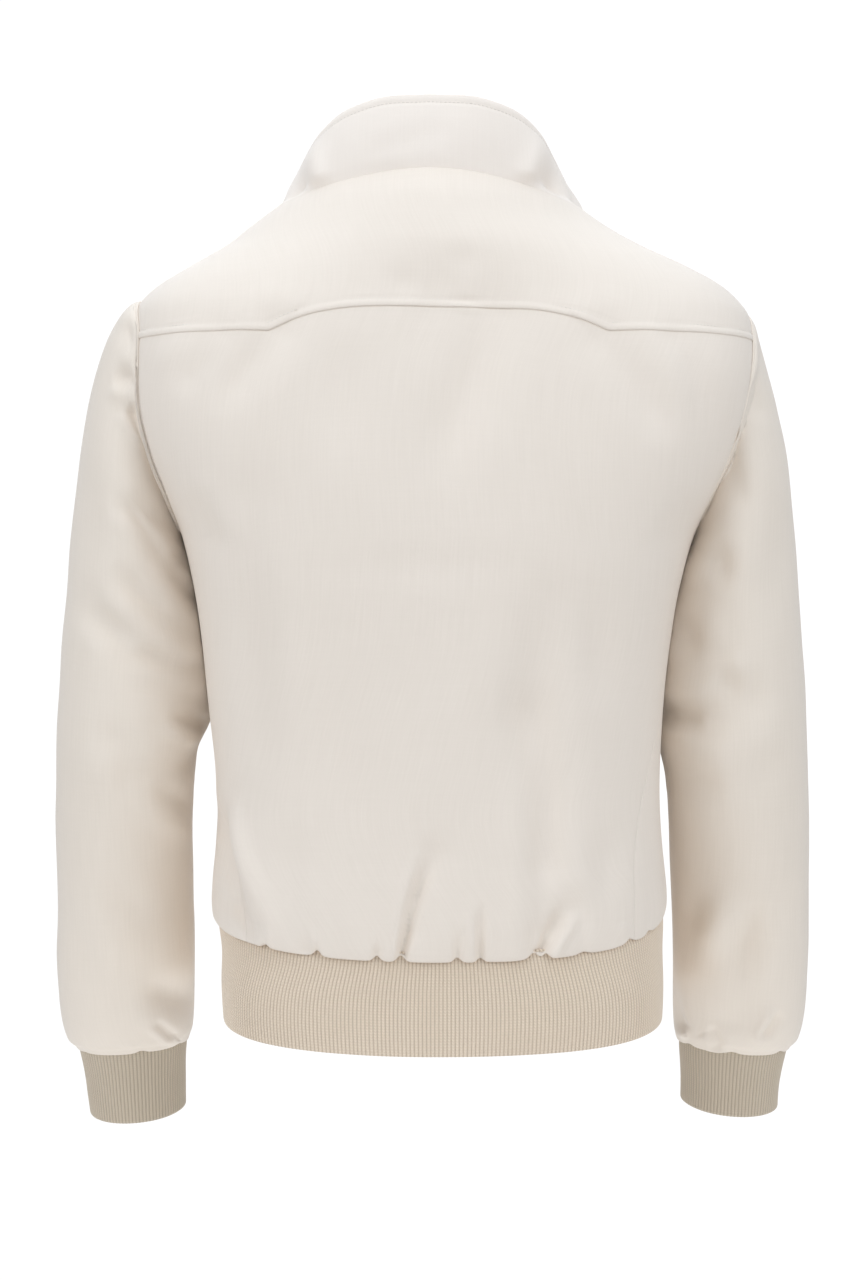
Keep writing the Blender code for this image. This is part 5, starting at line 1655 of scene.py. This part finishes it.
def make_slider(material):
    """Slider: two plates, the post between them and the bridge over the tab."""
    mesh = bmesh.new()
    half = ((4.1, 5.3), (4.6, 4.0), (4.55, 0.5), (4.0, -3.6), (3.3, -5.2))
    outline = [(-x, y) for x, y in half] + [(x, y) for x, y in half[::-1]]
    prism(mesh, outline, 2, 0.35, 1.65, 0.35)
    prism(mesh, outline, 2, -4.15, -2.95, 0.35)
    prism(mesh, ((-0.8, 1.4), (-1.7, 5.0), (1.7, 5.0), (0.8, 1.4)), 2, -3.1, 0.6, 0.2)
    for sign in (1, -1):
        half_wall = ((3.9, 4.2), (4.5, 4.0), (4.3, -1.5), (3.7, -3.4), (3.2, -3.2))
        wall = [(sign * x, y) for x, y in half_wall]
        prism(mesh, wall, 2, -0.6, 0.6, 0.15)
    arch = (
        (-3.6, 1.3), (-3.6, 4.6), (-2.6, 5.7), (2.6, 5.7), (3.6, 4.6), (3.6, 1.3),
        (2.4, 1.3), (2.4, 4.4), (1.9, 4.9), (-1.9, 4.9), (-2.4, 4.4), (-2.4, 1.3),
    )
    prism(mesh, arch, 0, -1.0, 1.0, 0.22)
    return finish_hard("zip_slider_body", mesh, SLIDER_FRAME, material, "zip_slider")


def tab_loops():
    """Outer outline and hole of the pull tab, point for point, in millimetres from its axis."""
    outer = [(-3.0, 0.8), (3.0, 0.8)]
    outer += [(3.6 * math.cos(a), -20.4 + 3.6 * math.sin(a)) for a in np.linspace(0, -math.pi, 25)]
    sides = []
    for start, end in zip(outer, outer[1:] + outer[:1]):
        length = math.dist(start, end)
        count = max(1, int(length / 0.8))
        sides += [(start[0] + (end[0] - start[0]) * i / count, start[1] + (end[1] - start[1]) * i / count)
                  for i in range(count)]
    outer = np.array(sides)
    turn = np.arctan2(*(outer - TAB_HOLE).T[::-1])
    reach = (np.abs(np.cos(turn) / 1.7) ** 4 + np.abs(np.sin(turn) / 2.6) ** 4) ** -0.25
    hole = TAB_HOLE + np.stack((np.cos(turn), np.sin(turn)), -1) * reach[:, None]
    return outer, hole


def make_pull_tab(material):
    """The pull tab, with rounded edges and a sunk grip on both faces."""
    outer, hole = tab_loops()
    middle = np.array((0.0, -12.0))

    def shrunk(loop, size):
        away = loop - middle
        return loop - size * np.sign(away) * np.minimum(1, np.abs(away) / 2)

    def grown(size):
        return hole + size * unit(hole - TAB_HOLE)

    grip = 0.62
    faces_at = [outer + (hole - outer) * share for share in (0.30, 0.36, 0.80, 0.86)]
    loops = [
        (shrunk(outer, 0.25), 0.80), (outer, 0.55), (outer, -0.55), (shrunk(outer, 0.25), -0.80),
        (faces_at[0], -0.80), (faces_at[1], -grip), (faces_at[2], -grip), (faces_at[3], -0.80),
        (grown(0.2), -0.80), (hole, -0.60), (hole, 0.60), (grown(0.2), 0.80),
        (faces_at[3], 0.80), (faces_at[2], grip), (faces_at[1], grip), (faces_at[0], 0.80),
    ]
    mesh = bmesh.new()
    rings = [[mesh.verts.new((x / 1000, y / 1000, z / 1000)) for x, y in loop] for loop, z in loops]
    count = len(outer)
    for ring, after in zip(rings, rings[1:] + rings[:1]):
        for i in range(count):
            j = (i + 1) % count
            mesh.faces.new((ring[i], ring[j], after[j], after[i]))
    bmesh.ops.recalc_face_normals(mesh, faces=mesh.faces)
    frame = SLIDER_FRAME.copy()
    frame.translation = TAB_AXIS
    return finish_hard("zip_pull", mesh, frame, material, "zip_pull_tab", "pull_tab")


def make_box(material):
    """The box at the foot of the zip, with the pin beside it."""
    low = float(hem_height(math.pi)) - RIB_HEIGHT
    points, up, normals = zip_line(np.array((low + BOX_HEIGHT / 2,)))
    frame = Matrix(((1, 0, 0), tuple(up[0]), tuple(normals[0]))).transposed().to_4x4()
    frame.translation = points[0]
    mesh = bmesh.new()
    body = ((-2.7, -5.4), (2.7, -5.4), (2.7, 4.2), (2.0, 5.3), (-2.0, 5.3), (-2.7, 4.2))
    prism(mesh, body, 2, -3.1, 0.55, 0.4)
    for x in (-2.0, 0.4):
        prism(mesh, ((x, -4.5), (x + 1.6, -4.5), (x + 1.6, 4.0), (x, 4.0)), 2, 0.3, 0.85, 0.2)
    return finish_hard("zip_foot", mesh, frame, material, "zip_box")


# Scene

def make_stage():
    """A round white floor, bright enough to hide its edge in the white surroundings."""
    turns = np.linspace(0, 2 * math.pi, 97)[:-1]
    verts = [(FLOOR_RADIUS * math.cos(turn), FLOOR_RADIUS * math.sin(turn), FLOOR) for turn in turns]
    mesh = bpy.data.meshes.new("studio_floor")
    mesh.from_pydata(verts, [], [tuple(range(len(verts)))])
    material = bpy.data.materials.new("studio_white")
    material.use_nodes = True
    set_inputs(material.node_tree.nodes["Principled BSDF"], {
        "Base Color": (0.5, 0.5, 0.5, 1),
        "Roughness": 0.9,
        "Specular IOR Level": 0.0,
        "Emission Color": (1, 1, 1, 1),
        "Emission Strength": 0.75,
    })
    mesh.materials.append(material)
    stage = add_object("studio_floor", mesh)


def add_light(name, place, target, size, watts, colour):
    """A square soft light."""
    data = bpy.data.lights.new(name, "AREA")
    data.shape = "SQUARE"
    data.size = size
    data.energy = watts
    data.color = colour
    lamp = add_object(name, data)
    lamp.location = place
    lamp.rotation_euler = (Vector(target) - Vector(place)).to_track_quat("-Z", "Y").to_euler()


def make_studio():
    """Floor, soft lights, white surroundings and the camera."""
    make_stage()
    for light in LIGHTS:
        add_light(*light)
    world = bpy.data.worlds.new("studio")
    bpy.context.scene.world = world
    world.use_nodes = True
    tree = world.node_tree
    lighting = tree.nodes["Background"]
    set_inputs(lighting, {"Color": (*DAYLIGHT, 1), "Strength": 0.50})
    backdrop = tree.nodes.new("ShaderNodeBackground")
    set_inputs(backdrop, {"Color": (1, 1, 1, 1), "Strength": 1.05})
    seen = tree.nodes.new("ShaderNodeLightPath").outputs["Is Camera Ray"]
    mix = tree.nodes.new("ShaderNodeMixShader")
    for output, target in ((seen, 0), (lighting.outputs[0], 1), (backdrop.outputs[0], 2)):
        tree.links.new(output, mix.inputs[target])
    tree.links.new(mix.outputs[0], tree.nodes["World Output"].inputs["Surface"])
    data = bpy.data.cameras.new("camera")
    data.sensor_width = 36
    data.lens = LENS
    camera = add_object("camera", data)
    camera.location = CAMERA
    camera.rotation_euler = (math.pi / 2, 0, math.pi)
    bpy.context.scene.camera = camera
    view = bpy.context.scene.view_settings
    view.view_transform = "Standard"
    view.look = "None"
    view.exposure = 0.0


def make_cloth():
    """All cloth pieces."""
    cream = cloth_material("shell_twill", (0.885, 0.800, 0.710), (0.785, 0.700, 0.610))
    # Painted bounce light: the sleeves' copy of the shell cloth is tinted a little yellower to stand in for
    # warm light bounced between sleeves and body.
    painted_warm_sleeve_cream = cloth_material("sleeve_twill", (0.885, 0.797, 0.698), (0.785, 0.697, 0.599))
    # Painted light: the collar's copy of the shell cloth is made brighter to stand in for the extra light the
    # collar catches.
    painted_light_collar_cream = cloth_material("collar_twill", (0.940, 0.862, 0.782), (0.872, 0.789, 0.708))
    hem_knit = rib_material("hem_knit", (0.868, 0.745, 0.602), (0.738, 0.606, 0.470), RIB_PITCH)
    cuff_knit = rib_material("cuff_knit", (0.660, 0.566, 0.440), (0.534, 0.446, 0.340), CUFF_PITCH)
    tape = cloth_material("tape_weave", (0.800, 0.740, 0.660), (0.700, 0.640, 0.560))
    thread = thread_material("thread", (0.850, 0.790, 0.720), (0.740, 0.680, 0.600))
    surface = BodySurface()
    pieces = {}
    for name, places, kind, flip in (
        ("back_panel", back_panel_places(), "panel", False),
        ("back_yoke", yoke_places(), "yoke", False),
        ("front_left", front_places("left"), "panel", True),
        ("front_right", mirrored(front_places("right")), "panel", False),
    ):
        outer, normals = surface.points(places[..., 0], places[..., 1], kind)
        pieces[name] = cloth_piece(name, outer, CLOTH_THICK, False, flip, cream, guide=normals)
    outer, inner, grain = rib_surface()
    pieces["hem_rib"] = cloth_piece("hem_rib", outer, RIB_THICK, False, True, hem_knit, inner, grain=grain)
    for side in ("left", "right"):
        flip = side == "left"
        name = f"sleeve_{side}"
        pieces[name] = cloth_piece(name, sleeve_surface(side, surface), CLOTH_THICK, True, flip, painted_warm_sleeve_cream)
        outer, inner, grain = cuff_surface(side)
        name = f"cuff_{side}"
        pieces[name] = cloth_piece(name, outer, RIB_THICK, True, flip, cuff_knit, inner, grain=grain)
        pieces[f"zip_tape_{side}"] = make_tape(side, tape)
    outer, from_edge = collar_surface(surface)
    normals = grid_normals(outer, False)
    border = np.minimum(from_edge, ends_distance(outer))
    fold = lower_fold(np.clip(border, 0, 1), COLLAR_ROUND)
    rounded = outer - normals * fold[..., None]
    pieces["collar"] = cloth_piece("collar", rounded, 2 * (COLLAR_PLY - fold), False, False, painted_light_collar_cream)
    stitch_lines("stitches_yoke", [yoke_stitches(surface)], thread)
    fronts = [front_stitches(surface, side) for side in SIGN]
    stitch_lines("stitches_fronts", fronts, thread)
    stitch_lines("stitches_collar", collar_stitches(outer, normals, from_edge), thread)
    return pieces


def main():
    """Build the looks and the scene."""
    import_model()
    pieces = make_cloth()
    nickel = metal_material("nickel", (0.640, 0.620, 0.580), (0.500, 0.480, 0.450), 0.22)
    hard = [make_teeth(nickel), make_slider(nickel), make_pull_tab(nickel), make_box(nickel)]
    make_studio()


main()
